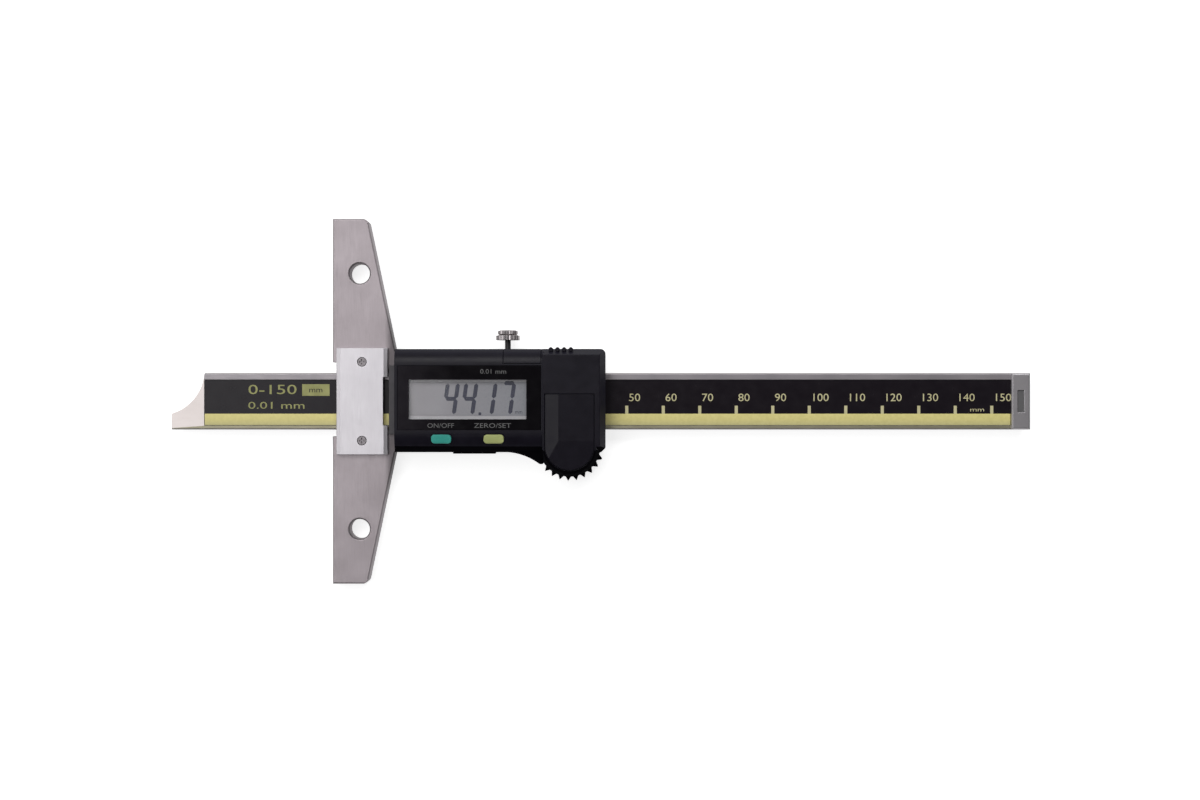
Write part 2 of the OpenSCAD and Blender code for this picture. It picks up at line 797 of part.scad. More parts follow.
// The hollow of the display part and of the block
module housing_hollow() {
    intersection() {
        translate([0, 0, -over]) linear_extrude(housing_t) housing_outline(wall);
        union() {
            along_x(housing_x0, block_x0) intersection() {
                display_section(slope_wall);
                block_2d([-bulge_down - bulge_r, -over], [housing_up, housing_t - front_wall]);
            }
            along_x(block_x0 - block_seam, housing_x1) intersection() {
                block_section(-slope_wall);
                union() {
                    block_2d([lid_up + lid_wall, -over], [housing_up, block_top - front_wall]);
                    block_2d([-bulge_down - bulge_r, -over], [lid_up + lid_wall + over, lid_z0 - lid_wall]);
                }
            }
        }
    }
}

// Outline of the battery cover, grown by grow
module lid_outline(grow) {
    r = lid_half_w + grow;
    translate([bulge_x, bulge_y]) circle(r);
    block_2d([bulge_x - r, bulge_y], [bulge_x + r, lid_up + grow]);
}

// Bosses, guides and the battery's well inside the housing
module housing_inside() {
    intersection() {
        union() {
            for (place = housing_screw_places())
                translate([place[0], place[1], housing_screw_seat(place) + thread_gap])
                    cylinder(r = boss_r, h = housing_t);
            for (x = [power_x, zero_x])
                translate([x, button_y, collar_z0]) linear_extrude(housing_t)
                    square([button_l + 2 * collar_wall, button_w + 2 * collar_wall], center = true);
            block([port_x0 - port_wall, port_y0 - port_wall, port_z0 - port_wall],
                [port_x1 + port_wall, housing_up - wall / 2, housing_t]);
        }
        union() {
            along_x(housing_x0, block_x0) display_section(slope_wall / 2);
            along_x(block_x0, housing_x1) block_section(-slope_wall / 2);
        }
    }
    translate([bulge_x, bulge_y, well_floor_z - well_floor_t])
        cylinder(r = well_r + well_wall, h = lid_z0 - well_floor_z + well_floor_t);
    for (side = [-1, 1])
        translate([bulge_x + side * bulge_screw_dx, bulge_y - bulge_screw_dy, bulge_cover_z + bulge_cover_t])
            cylinder(r = bulge_boss_r, h = well_floor_z - bulge_cover_z - bulge_cover_t);
}

// Everything that is cut out of the housing, from its openings to its screw holes
module housing_cuts() {
    // The window, the rebate of its glass and the rebate of the face sheet
    translate([window_mid_x, window_mid_y, housing_t - front_wall - over])
        linear_extrude(front_wall + 2 * over) square([window_l, window_w], center = true);
    translate([window_mid_x, window_mid_y, housing_t - sheet_t - window_t])
        linear_extrude(window_t + sheet_t + over)
            square([window_l + 2 * (window_rim[0] + fit), window_w + 2 * (window_rim[1] + fit)],
                center = true);
    block([sheet_x0() - fit, -flat_down + sheet_edge[1] - fit, housing_t - sheet_t],
        [sheet_x1() + fit, flat_up - sheet_edge[1] + fit, housing_t + over]);
    // The buttons
    for (x = [power_x, zero_x])
        translate([x, button_y, collar_z0 - over]) linear_extrude(housing_t)
            round_outline(button_l + 2 * button_fit, button_w + 2 * button_fit,
                button_corner_r + button_fit);
    // The slider body at the left and the beam at the right
    block([housing_x0 - over, -slider_half - end_gap, -over],
        [housing_x0 + wall + over, slider_half + end_gap, base_t + run_gap]);
    block([housing_x1 - wall - over, -beam_half - housing_slot_gap, -over],
        [housing_x1 + over, beam_half + housing_slot_gap, base_t]);
    // The battery, the seat of its cover and the slots of its contacts
    translate([bulge_x, bulge_y, well_floor_z]) cylinder(r = well_r, h = housing_t);
    translate([0, 0, lid_z0]) linear_extrude(housing_t) lid_outline(fit);
    block([board_x1 - slot_gap, minus_y - contact_w / 2 - slot_gap, board_top - slot_gap],
        [bulge_x, minus_y + contact_w / 2 + slot_gap, board_top + contact_t + slot_gap]);
    block([board_x1 - slot_gap, plus_y - plus_leaf_w / 2 - slot_gap, board_top - slot_gap],
        [bulge_x, plus_y + plus_leaf_w / 2 + slot_gap, board_top + contact_t + slot_gap]);
    block([plus_x() - contact_t - slot_gap, plus_y - plus_leaf_w / 2 - slot_gap, board_top - slot_gap],
        [bulge_x, plus_y + plus_leaf_w / 2 + slot_gap, board_top + plus_leaf_h + slot_gap]);
    // The screws from the back
    for (place = housing_screw_places())
        translate([place[0], place[1], housing_screw_seat(place) - over])
            cylinder(d = housing_screw_d + 2 * thread_gap, h = over + housing_screw_bite + fit);
    for (side = [-1, 1])
        translate([bulge_x + side * bulge_screw_dx, bulge_y - bulge_screw_dy, bulge_cover_z])
            cylinder(d = bulge_screw_d + 2 * thread_gap, h = bulge_cover_t + bulge_screw_bite + fit);
    // The clamp screw
    bar_y(clamp_x, beam_mid_z, clamp_thread_d + 2 * clamp_hole_gap, slider_half, housing_up + over);
    // The data port, open to its connector below
    block([port_x0, port_y0, port_z0], [port_x1, housing_up + over, housing_t + over]);
    opening_in = plug_in - connector_block_gap;
    block([port_x0 + opening_in, plug_y0() - connector_block_gap, port_z0 - port_wall - over],
        [port_x1 - opening_in, plug_y0() + connector_block_w + connector_block_gap, port_z0 + over]);
}

function sheet_x0() = housing_x0 + sheet_edge[0];
function sheet_x1() = block_x0 - sheet_end;
function plus_x() = bulge_x - cell_d / 2 - thread_gap;
function plug_y0() = port_y0 + plug_below_edge;

module housing() {
    color("#26242b") difference() {
        union() {
            difference() {
                housing_outside();
                housing_hollow();
            }
            housing_inside();
            // The lip over the beam at the left, and the small tab below
            block([lip_x0, -lip_down, base_t + run_gap],
                [housing_x0 + wall / 2, lip_up, base_t + run_gap + lip_t]);
            block([housing_x0 + tab_in, -housing_down - tab_h, housing_z0],
                [housing_x0 + tab_in + tab_l, -housing_down + wall / 2, tab_t]);
        }
        housing_cuts();
    }
}

module housing_screws() {
    color("dimgray") for (place = housing_screw_places())
        translate([place[0], place[1], housing_head_sunk])
            screw_up(housing_head_d, housing_head_h, housing_screw_d,
                housing_screw_seat(place) + housing_screw_bite - housing_head_h - housing_head_sunk);
}

module bulge_cover() {
    color("#2c2a31") translate([0, 0, bulge_cover_z]) difference() {
        linear_extrude(bulge_cover_t) intersection() {
            translate([bulge_x, bulge_y]) circle(bulge_r - wall - fit);
            block_2d([bulge_x - bulge_r, bulge_y - bulge_r], [bulge_x + bulge_r, -slider_half - end_gap]);
        }
        for (side = [-1, 1])
            translate([bulge_x + side * bulge_screw_dx, bulge_y - bulge_screw_dy, 0]) {
                translate([0, 0, -over])
                    cylinder(d = bulge_screw_d + 2 * fit, h = bulge_cover_t + 2 * over);
                translate([0, 0, -over])
                    cylinder(d = bulge_screw_head_d + 2 * fit, h = over + bulge_screw_head_h);
            }
    }
}

module bulge_cover_screws() {
    color("dimgray") for (side = [-1, 1])
        translate([bulge_x + side * bulge_screw_dx, bulge_y - bulge_screw_dy, bulge_cover_z])
            screw_up(bulge_screw_head_d, bulge_screw_head_h, bulge_screw_d,
                bulge_cover_t - bulge_screw_head_h + bulge_screw_bite);
}

module face_sheet() {
    color("#151318") difference() {
        block([sheet_x0(), -flat_down + sheet_edge[1], housing_t - sheet_t],
            [sheet_x1(), flat_up - sheet_edge[1], housing_t]);
        translate([window_mid_x, window_mid_y, housing_t - sheet_t - over])
            linear_extrude(sheet_t + 2 * over) square([window_l, window_w], center = true);
    }
}

module display_window() {
    color("lightgray", 0.4) translate([window_mid_x, window_mid_y, housing_t - sheet_t - window_t])
        linear_extrude(window_t)
            square([window_l + 2 * window_rim[0], window_w + 2 * window_rim[1]], center = true);
}

// Size of the liquid crystal panel
function lcd_size() = [window_l + 2 * lcd_rim[0], window_w + 2 * lcd_rim[1]];

module lcd_panel() {
    color("darkgray") translate([window_mid_x, window_mid_y, lcd_z0])
        linear_extrude(lcd_t) square(lcd_size(), center = true);
}

module lcd_holder() {
    seat = lcd_size() + [2 * fit, 2 * fit];
    outer = seat + [2 * holder_wall, 2 * holder_wall];
    opening = seat - [2 * holder_ledge, 2 * holder_ledge];
    floor_z = lcd_z0 - holder_floor_t;
    color("whitesmoke") difference() {
        union() {
            translate([window_mid_x, window_mid_y, floor_z])
                linear_extrude(lcd_z1 - floor_z - lcd_gap) square(outer, center = true);
            for (x = [-1, 1], y = [-1, 1])
                translate([window_mid_x + x * (outer[0] - holder_post) / 2,
                    window_mid_y + y * (outer[1] - holder_post) / 2, board_top])
                    linear_extrude(floor_z - board_top + holder_floor_t) square(holder_post, center = true);
        }
        translate([window_mid_x, window_mid_y, lcd_z0])
            linear_extrude(lcd_t + over) square(seat, center = true);
        translate([window_mid_x, window_mid_y, floor_z - over])
            linear_extrude(holder_floor_t + 2 * over) square(opening, center = true);
    }
}

module lcd_connectors() {
    connector_y = lcd_size()[1] / 2 - connector_in - connector_w / 2;
    color("lightpink") for (side = [-1, 1])
        translate([window_mid_x, window_mid_y + side * connector_y, board_top])
            linear_extrude(lcd_z0 - board_top)
                square([lcd_size()[0] - 2 * connector_end, connector_w], center = true);
}

module circuit_board() {
    edge = slider_half - board_edge;
    color("darkgreen") difference() {
        block([board_x0, -edge, base_t], [board_x1, edge, board_top]);
        for (place = housing_screw_places())
            translate([place[0], place[1], base_t - over])
                cylinder(d = board_hole_d, h = board_t + 2 * over);
    }
}

module processor_chip() {
    color("#202020") translate([window_mid_x, window_mid_y, board_top]) {
        translate([0, 0, chip_foot[2]])
            linear_extrude(chip_size[2] - chip_foot[2])
                square([chip_size[0], chip_size[1] - chip_foot[1]], center = true);
        for (i = [0:chip_foot_count - 1])
            translate([(i - (chip_foot_count - 1) / 2) * chip_size[0] / chip_foot_count, 0, 0])
                linear_extrude(chip_foot[2] + thread_gap)
                    square([chip_foot[0], chip_size[1]], center = true);
    }
}

module board_components() {
    chip_half = chip_size[0] / 2;
    capacitor_x = window_mid_x - chip_half - part_gap - capacitor_size[0] / 2;
    color("tan") {
        translate([window_mid_x + chip_half + part_gap, window_mid_y, board_top + crystal_d / 2])
            rotate([0, 90, 0]) cylinder(d = crystal_d, h = crystal_l);
        for (x = [0, 1], y = [-1, 1])
            translate([capacitor_x - x * capacitor_spacing, window_mid_y + y * capacitor_spacing / 2,
                board_top])
                linear_extrude(capacitor_size[2])
                    square([capacitor_size[0], capacitor_size[1]], center = true);
    }
}

module tact_switches() {
    color("lightgray") for (x = [power_x, zero_x])
        translate([x, button_y, board_top]) {
            linear_extrude(switch_size[2]) square([switch_size[0], switch_size[1]], center = true);
            cylinder(d = plunger_d, h = switch_size[2] + plunger_l);
        }
}

// A button: its top follows the housing's slope and its flange keeps it in
module button(x) {
    flange_z0 = collar_z0 - fit - button_flange_t;
    stem_z0 = board_top + switch_size[2] + plunger_l + button_travel + button_stop_gap;
    translate([x, button_y, 0]) {
        intersection() {
            translate([0, 0, flange_z0])
                linear_extrude(housing_t) round_outline(button_l, button_w, button_corner_r);
            translate([0, -button_y, button_proud]) along_x(-button_l, button_l) display_section(0);
        }
        translate([0, 0, flange_z0]) linear_extrude(button_flange_t)
            square([button_l + 2 * button_flange, button_w + 2 * button_flange], center = true);
        translate([0, 0, stem_z0]) cylinder(d = button_stem_d, h = flange_z0 - stem_z0 + button_flange_t);
    }
}

module power_button() {
    color("mediumseagreen") button(power_x);
}

module zero_button() {
    color("darkkhaki") button(zero_x);
}

module battery() {
    color("lightsteelblue") translate([bulge_x, bulge_y, cell_z0]) union() {
        cylinder(d = cell_d - 2 * cell_lip, h = cell_t);
        translate([0, 0, cell_step]) cylinder(d = cell_d, h = cell_t - cell_step);
    }
}

module battery_contact_plus() {
    foot_x0 = board_x1 - contact_in;
    color("gold") {
        block([foot_x0, plus_y - contact_w / 2, board_top],
            [plus_x(), plus_y + contact_w / 2, board_top + contact_t]);
        block([plus_x() - contact_t, plus_y - plus_leaf_w / 2, board_top],
            [plus_x(), plus_y + plus_leaf_w / 2, board_top + plus_leaf_h]);
    }
}

module battery_contact_minus() {
    color("gold") block([board_x1 - contact_in, minus_y - contact_w / 2, board_top],
        [bulge_x + minus_reach, minus_y + contact_w / 2, board_top + contact_t]);
}

module battery_cover() {
    left = bulge_x - lid_half_w;
    top_z = block_top + lid_raise;
    color("#2a272f") difference() {
        intersection() {
            translate([0, 0, lid_z0]) linear_extrude(housing_t) lid_outline(0);
            along_x(left - over, bulge_x + lid_half_w + over) block_section(lid_raise);
        }
        // The slope along its left side
        translate([0, lid_up + over, 0]) rotate([90, 0, 0])
            linear_extrude(lid_up + bulge_down + lid_half_w + 2 * over)
                polygon([[left - over, top_z - lid_bevel_h - lid_bevel_h * over / lid_bevel_w],
                    [left + lid_bevel_w, top_z], [left + lid_bevel_w, top_z + over],
                    [left - over, top_z + over]]);
    }
}

module data_connector() {
    color("#1c1c1c") block([port_x0 + plug_in, plug_y0(), board_top],
        [port_x1 - plug_in, plug_y0() + connector_block_w, port_z0 - pin_size[2] - fit]);
}

module connector_pins() {
    color("gold") for (i = [0:pin_count - 1])
        translate([(port_x0 + port_x1) / 2 + (i - (pin_count - 1) / 2) * pin_spacing - pin_size[0] / 2,
            plug_y0() + (connector_block_w - pin_size[1]) / 2, port_z0 - pin_size[2] - fit])
            cube(pin_size);
}

module port_cover() {
    color("#2a282f") intersection() {
        block([port_x0 + fit, port_y0 + fit, port_z0 + fit], [port_x1 - fit, housing_up, housing_t]);
        along_x(port_x0, port_x1) display_section(0);
    }
}

base();
cover_plate();
cover_plate_screws();
gib();
gib_screws();
clamp_shoe();
clamp_screw();
beam();
scale_strip();
scale_cover();
end_stop();
end_stop_screws();
housing();
housing_screws();
bulge_cover();
bulge_cover_screws();
face_sheet();
display_window();
lcd_panel();
lcd_holder();
lcd_connectors();
circuit_board();
processor_chip();
board_components();
tact_switches();
power_button();
zero_button();
battery();
battery_contact_plus();
battery_contact_minus();
battery_cover();
data_connector();
connector_pins();
port_cover();
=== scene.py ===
# %% [markdown]
# # A digital depth gauge, dressed piece by piece
#
# A depth gauge is a steel base that sits across a hole, and a long beam that slides down into it.
# A black plastic housing on the base reads the beam and shows the depth.
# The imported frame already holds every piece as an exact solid. In these cells each visible solid gets
# soft edges, print, and a finish, so that it looks like ground steel, moulded plastic or glass.

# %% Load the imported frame
import json
import math

import bmesh
import bpy
from mathutils import Matrix, Vector

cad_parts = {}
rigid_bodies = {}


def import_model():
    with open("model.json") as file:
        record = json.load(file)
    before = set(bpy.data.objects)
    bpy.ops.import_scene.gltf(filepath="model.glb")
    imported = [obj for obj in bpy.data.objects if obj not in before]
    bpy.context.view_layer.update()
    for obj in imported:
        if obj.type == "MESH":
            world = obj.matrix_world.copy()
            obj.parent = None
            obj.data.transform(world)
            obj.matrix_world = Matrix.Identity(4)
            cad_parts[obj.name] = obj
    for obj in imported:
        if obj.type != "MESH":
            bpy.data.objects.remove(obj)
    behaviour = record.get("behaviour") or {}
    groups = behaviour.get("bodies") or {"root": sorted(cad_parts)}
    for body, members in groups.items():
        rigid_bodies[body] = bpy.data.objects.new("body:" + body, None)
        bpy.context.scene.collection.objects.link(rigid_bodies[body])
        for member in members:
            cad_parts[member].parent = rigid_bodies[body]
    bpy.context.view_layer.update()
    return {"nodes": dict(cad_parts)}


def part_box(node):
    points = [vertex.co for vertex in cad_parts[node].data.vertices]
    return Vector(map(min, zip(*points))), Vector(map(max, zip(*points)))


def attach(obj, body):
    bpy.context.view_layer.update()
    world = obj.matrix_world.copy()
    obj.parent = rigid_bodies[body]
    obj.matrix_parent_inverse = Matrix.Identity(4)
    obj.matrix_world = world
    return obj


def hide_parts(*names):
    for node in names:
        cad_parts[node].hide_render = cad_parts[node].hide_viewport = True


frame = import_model()
solids = frame["nodes"]

# %% [markdown]
# ## Units, and picking a piece by hand
#
# Blender works in metres here, and a gauge is drawn in millimetres, so every size is multiplied by MM.
# Operators act on whatever is selected. A small helper deselects everything and picks one piece first,
# which is what a click in the viewport would do.

# %% Units and the picking helper
MM = 0.001


def pick_nothing():
    """Select nothing, so that what is made next is alone."""
    bpy.ops.object.select_all(action="DESELECT")


def pick(*pieces):
    """Select these pieces alone, the first one active."""
    pick_nothing()
    for piece in pieces:
        piece.select_set(True)
    bpy.context.view_layer.objects.active = pieces[0]


def just_made(name):
    """Name the piece that the last operator made."""
    piece = bpy.context.object
    piece.name = piece.data.name = name
    return piece


def settle(piece):
    """Move a piece's place, turn and size into its mesh, so that its object sits at the origin."""
    pick(piece)
    bpy.ops.object.transform_apply(location=True, rotation=True, scale=True)
    return piece


print("one millimetre is", MM, "units")

# %% [markdown]
# ## Selecting faces in code
#
# In edit mode a modeller clicks the faces to work on. Here a test on each face's middle and normal
# does the clicking, so the same step works again whenever the frame is packed anew.

# %% Face selection helpers
FACING = 0.5


def looks_up(middle, normal):
    """True for a face that points more up than sideways."""
    return normal.z > FACING


def looks_down(middle, normal):
    """True for a face that points more down than sideways."""
    return normal.z < -FACING


def enter_edit(piece, kind):
    """Edit one piece by its faces, edges or points, with none of them selected."""
    pick(piece)
    bpy.ops.object.mode_set(mode="EDIT")
    bpy.ops.mesh.select_mode(type=kind)
    bpy.ops.mesh.select_all(action="DESELECT")


def edit_faces(piece, wanted):
    """Edit a piece with only those faces selected whose middle and normal pass the test."""
    enter_edit(piece, "FACE")
    mesh = bmesh.from_edit_mesh(piece.data)
    chosen = 0
    for face in mesh.faces:
        keep = bool(wanted(face.calc_center_median(), face.normal))
        face.select_set(keep)
        chosen += keep
    bmesh.update_edit_mesh(piece.data)
    return chosen


def leave_edit():
    """Back to object mode."""
    bpy.ops.object.mode_set(mode="OBJECT")


print("face selection is ready")

# %% [markdown]
# ## Soft edges on the exact solids
#
# A solid from the frame has perfectly sharp edges, and nothing real does. Ground steel is broken with
# a stone, and moulded plastic has a small radius from its tool. Each piece could be drawn anew, but a
# copy of the exact solid keeps every size. The copy is merged, its flat faces are joined, and a bevel
# along every sharp edge catches the light as the real edge does.

# %% Copy a solid
MERGE = 0.001 * MM
FLAT_ANGLE = math.radians(0.3)


def copy_of(node, name, cuts=()):
    """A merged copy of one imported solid, its flat faces joined, but not across cuts at those Y."""
    pick(solids[node])
    bpy.ops.object.duplicate()
    bpy.ops.object.parent_clear(type="CLEAR_KEEP_TRANSFORM")
    piece = just_made(name)
    piece.data.materials.clear()
    bpy.ops.object.mode_set(mode="EDIT")
    bpy.ops.mesh.select_all(action="SELECT")
    bpy.ops.mesh.remove_doubles(threshold=MERGE)
    bpy.ops.mesh.customdata_custom_splitnormals_clear()
    for cut_y in cuts:
        bpy.ops.mesh.select_all(action="SELECT")
        bpy.ops.mesh.bisect(plane_co=(0, cut_y, 0), plane_no=(0, 1, 0))
        bpy.ops.mesh.mark_seam(clear=False)
    bpy.ops.mesh.select_all(action="SELECT")
    bpy.ops.mesh.dissolve_limited(angle_limit=FLAT_ANGLE, delimit={"SEAM"})
    leave_edit()
    return piece


print("a solid can be copied")

# %% Round the edges of a copy
SHARP_ANGLE = math.radians(35)
SMOOTH_ANGLE = math.radians(30)


def triangulated(piece):
    """Cut many-sided faces into triangles, so that none can close over a hole."""
    cut = piece.modifiers.new("cut", "TRIANGULATE")
    cut.keep_custom_normals = True
    bpy.ops.object.modifier_apply(modifier=cut.name)
    return piece


def round_edges(piece, width, segments=2, smooth=SMOOTH_ANGLE, clamp=False):
    """Bevel every edge sharper than the angle, and shade what is left softly."""
    pick(piece)
    bpy.ops.object.shade_smooth_by_angle(angle=smooth)
    bevel = piece.modifiers.new("edge", "BEVEL")
    bevel.width = width
    bevel.segments = segments
    bevel.limit_method = "ANGLE"
    bevel.angle_limit = SHARP_ANGLE
    bevel.use_clamp_overlap = clamp
    bevel.harden_normals = True
    bpy.ops.object.modifier_apply(modifier=bevel.name)
    return triangulated(piece)


print("edges sharper than", round(math.degrees(SHARP_ANGLE)), "degrees get rounded")


# %% Install a piece on its body
def install(piece, body, slot, *nodes):
    """Let a finished piece ride on its body and stand for its solids."""
    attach(piece, body)
    if nodes:
        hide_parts(*nodes)
    print(piece.name, len(piece.data.polygons), "faces on", body)
    return piece


print("a piece can be installed")

# %% [markdown]
# ## Steel pieces
#
# The base, the beam and the cover plate are ground, and their edges are broken by a tenth of a
# millimetre. Small screws get next to nothing, because their slots would close. The base has holes in
# one large face. When such a face is cut into triangles they can run across a hole, so the base is cut
# into rows beside its holes first. The plate is shaded with a small angle, so that it stays flat.

# %% Steel pieces with broken edges
STEEL_EDGE = 0.12 * MM
SCREW_EDGE = 0.05 * MM
FLAT_SMOOTH = math.radians(8)
HOLE_ROWS = [y * MM for y in (-35, -30, -18, -11.2, 11.2, 18, 30, 35)]

steel = {}
for node, name, body, slot, edge in (
    ("base", "ground_base", "gauge_body", "base_steel", STEEL_EDGE),
    ("cover_plate", "front_plate", "gauge_body", "plate_steel", STEEL_EDGE),
    ("beam", "ground_beam", "beam", "beam_steel", STEEL_EDGE),
    ("end_stop", "stop_cap", "beam", "stop_steel", STEEL_EDGE),
    ("cover_plate_screws", "front_plate_screws", "gauge_body", "screw_steel", SCREW_EDGE),
    ("end_stop_screws", "stop_cap_screws", "beam", "screw_steel", SCREW_EDGE),
    ("housing_screws", "rear_screws", "gauge_body", "screw_steel", SCREW_EDGE),
    ("bulge_cover_screws", "rest_screws", "gauge_body", "screw_steel", SCREW_EDGE),
    ("clamp_screw", "knurled_screw", "clamp_screw", "clamp_steel", SCREW_EDGE),
):
    smooth = FLAT_SMOOTH if node == "cover_plate" else SMOOTH_ANGLE
    piece = round_edges(copy_of(node, name, HOLE_ROWS if node == "base" else ()), edge, smooth=smooth)
    steel[name] = install(piece, body, slot, node)

# %% [markdown]
# ## Moulded pieces
#
# The housing, its covers and the buttons come out of moulds, and their corners are as round as the
# tool that cut the mould. They are rounded copies as well, so that every opening stays in its place.
# The battery lid keeps the creases between its flat facets, which the real one shows.

# %% Plastic pieces with moulded edges
HOUSING_EDGE = 0.14 * MM
REST_EDGE = 0.1 * MM
LID_EDGE = 0.08 * MM
THIN_EDGE = 0.06 * MM
BUTTON_EDGE = 0.12 * MM
FACET_SMOOTH = math.radians(4)

plastic = {}
for node, name, body, slot, edge in (
    ("housing", "moulded_housing", "gauge_body", "housing_plastic", HOUSING_EDGE),
    ("battery_cover", "battery_lid", "battery_cover", "housing_plastic", LID_EDGE),
    ("port_cover", "port_plug", "port_cover", "housing_plastic", THIN_EDGE),
    ("bulge_cover", "rest_cover", "gauge_body", "housing_plastic", REST_EDGE),
    ("face_sheet", "glossy_face", "gauge_body", "face_plastic", THIN_EDGE),
    ("power_button", "green_button", "power_button", "button_green", BUTTON_EDGE),
    ("zero_button", "yellow_button", "zero_button", "button_yellow", BUTTON_EDGE),
):
    smooth = FACET_SMOOTH if node == "battery_cover" else SMOOTH_ANGLE
    piece = round_edges(copy_of(node, name), edge, smooth=smooth)
    plastic[name] = install(piece, body, slot, node)

# %% [markdown]
# ## Closing a thin slit
#
# Beside the thumb rest the low roof of the housing ends a fifth of a millimetre before the block, and
# light falls through. The points of that end are selected by their place and moved up to the block.

# %% Moving the end of the low roof
ROOF_END_LOW = Vector((57.33, -15.79, 10.55)) * MM
ROOF_END_HIGH = Vector((57.52, -13.79, 12.26)) * MM
ROOF_PUSH = 0.18 * MM


def push_points(piece, low, high, push):
    """Move the points of a mesh that lie between two corners."""
    enter_edit(piece, "VERT")
    mesh = bmesh.from_edit_mesh(piece.data)
    chosen = 0
    for point in mesh.verts:
        inside = all(low[axis] < point.co[axis] < high[axis] for axis in range(3))
        point.select_set(inside)
        chosen += inside
    bmesh.update_edit_mesh(piece.data)
    bpy.ops.transform.translate(value=push)
    leave_edit()
    print(piece.name, chosen, "points moved")


push_points(plastic["moulded_housing"], ROOF_END_LOW, ROOF_END_HIGH, (ROOF_PUSH, 0, 0))

# %% [markdown]
# ## Printed words and numbers
#
# Print is a film of ink about a hundredth of a millimetre thick. It could be painted by a material,
# but the edges of real letters are crisp and slightly raised. A text object with a small extrusion
# becomes such a film. It is made a mesh first, and only then is its place applied.

# %% Words as thin ink
INK = 0.012 * MM
CAP_SHARE = 0.7
CURVE_STEPS = 3


def words(name, text, height, middle, width=None, stretch=1.0, align="CENTER"):
    """Text as a film of ink, its capitals height tall, with its middle or left end at the place."""
    pick_nothing()
    bpy.ops.object.text_add(location=middle)
    line = bpy.context.object
    line.data.body = text
    line.data.size = height / CAP_SHARE
    line.data.align_x = align
    line.data.align_y = "CENTER"
    line.data.extrude = INK / 2
    line.data.resolution_u = CURVE_STEPS
    bpy.ops.object.convert(target="MESH")
    line = just_made(name)
    line.scale = (width / line.dimensions.x if width else stretch, 1, 1)
    return settle(line)


def join(name, pieces):
    """Join several pieces into the first one."""
    pick(*pieces)
    bpy.ops.object.join()
    return just_made(name)


print("ink is", INK / MM, "mm thick")

# %% [markdown]
# ## The scale on the beam
#
# The scale is a black film with a yellow band along its lower edge. A line rises from the band every
# ten millimetres, and its number stands beside it. The line is modelled once, from a plane that is
# extruded to the thickness of the ink, and copied along the beam.

# %% Place of the scale
scale_low, scale_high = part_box("scale_cover")
beam_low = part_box("beam")[0]
ink_z = scale_high.z + INK / 2
READING = -beam_low.x / MM
BLOCK_END = 74.7 * MM
zero_x = BLOCK_END - READING * MM
BAND_TOP = -3.4 * MM
print("zero line at x", round(zero_x / MM, 2), "mm")


# %% One line of ink
def pull(offset):
    """Extrude what is selected by an offset."""
    bpy.ops.mesh.extrude_region_move(TRANSFORM_OT_translate={"value": offset})


def thicken():
    """Make a flat piece as thick as the ink, and leave edit mode."""
    bpy.ops.mesh.select_all(action="SELECT")
    pull((0, 0, INK))
    bpy.ops.mesh.select_all(action="SELECT")
    bpy.ops.mesh.normals_make_consistent(inside=False)
    leave_edit()


def ink_bar(name, low, high, z):
    """A flat bar between two corners, as thick as the ink, its middle at height z."""
    middle = Vector(((low[0] + high[0]) / 2, (low[1] + high[1]) / 2, z - INK / 2))
    pick_nothing()
    bpy.ops.mesh.primitive_plane_add(size=1, location=middle)
    bar = just_made(name)
    bar.scale = (high[0] - low[0], high[1] - low[1], 1)
    settle(bar)
    bpy.ops.object.mode_set(mode="EDIT")
    thicken()
    return bar


def copy_to(piece, offset):
    """A copy of a piece with its own mesh, moved by an offset."""
    pick(piece)
    bpy.ops.object.duplicate()
    twin = bpy.context.object
    twin.location = Vector(offset)
    return settle(twin)


print("ink bars are ready")

# %% The lines and the band
TICK_W = 0.85 * MM
TICK_H = 2.2 * MM
LINE_EVERY = 10
TEN = LINE_EVERY * MM
LONG_LINES = 16
tick_low = (zero_x - TICK_W / 2, BAND_TOP)
tick_high = (zero_x + TICK_W / 2, BAND_TOP + TICK_H)
first_tick = ink_bar("tick_0", tick_low, tick_high, ink_z)
ticks = [first_tick]
for step in range(1, LONG_LINES):
    ticks.append(copy_to(first_tick, (step * TEN, 0, 0)))
band = ink_bar("band", (scale_low.x, scale_low.y), (scale_high.x, BAND_TOP), ink_z)
scale_lines = join("scale_lines", [band] + ticks)
install(scale_lines, "beam", "scale_print")

# %% [markdown]
# ## The numbers of the scale
#
# A number stands to the right of each line, as tall as the line, and a small mm before the last one.
# They are printed too, so they are the same thin ink. They could be drawn as curves, but a plain face
# made a little wider comes close and is easy to change.

# %% Numbers beside the lines
NUMBER_H = 2.1 * MM
NUMBER_Y = 0.95 * MM
NUMBER_GAP = 0.05 * MM
NUMBER_WIDER = 1.1
UNIT_H = 1.1 * MM
UNIT_W = 3.8 * MM
UNIT_Y = -2.3 * MM
UNIT_BEFORE_END = 4.0 * MM
numbers = []
for step in range(LONG_LINES):
    place = (zero_x + step * TEN + TICK_W / 2 + NUMBER_GAP, NUMBER_Y, ink_z)
    text = str(LINE_EVERY * step)
    numbers.append(words("number", text, NUMBER_H, place, stretch=NUMBER_WIDER, align="LEFT"))
place = (zero_x + (LONG_LINES - 1) * TEN - UNIT_BEFORE_END, UNIT_Y, ink_z)
numbers.append(words("unit", "mm", UNIT_H, place, width=UNIT_W))
scale_numbers = join("scale_numbers", numbers)
install(scale_numbers, "beam", "scale_print")

# %% [markdown]
# ## Plain print near the tip
#
# The left end of the beam carries a small block of print. It is given the range of the scale and
# the step of the display, which every gauge of this kind states, and a bright patch with the unit.
# The patch is a bar of ink, and its letters lie on top of it in black.

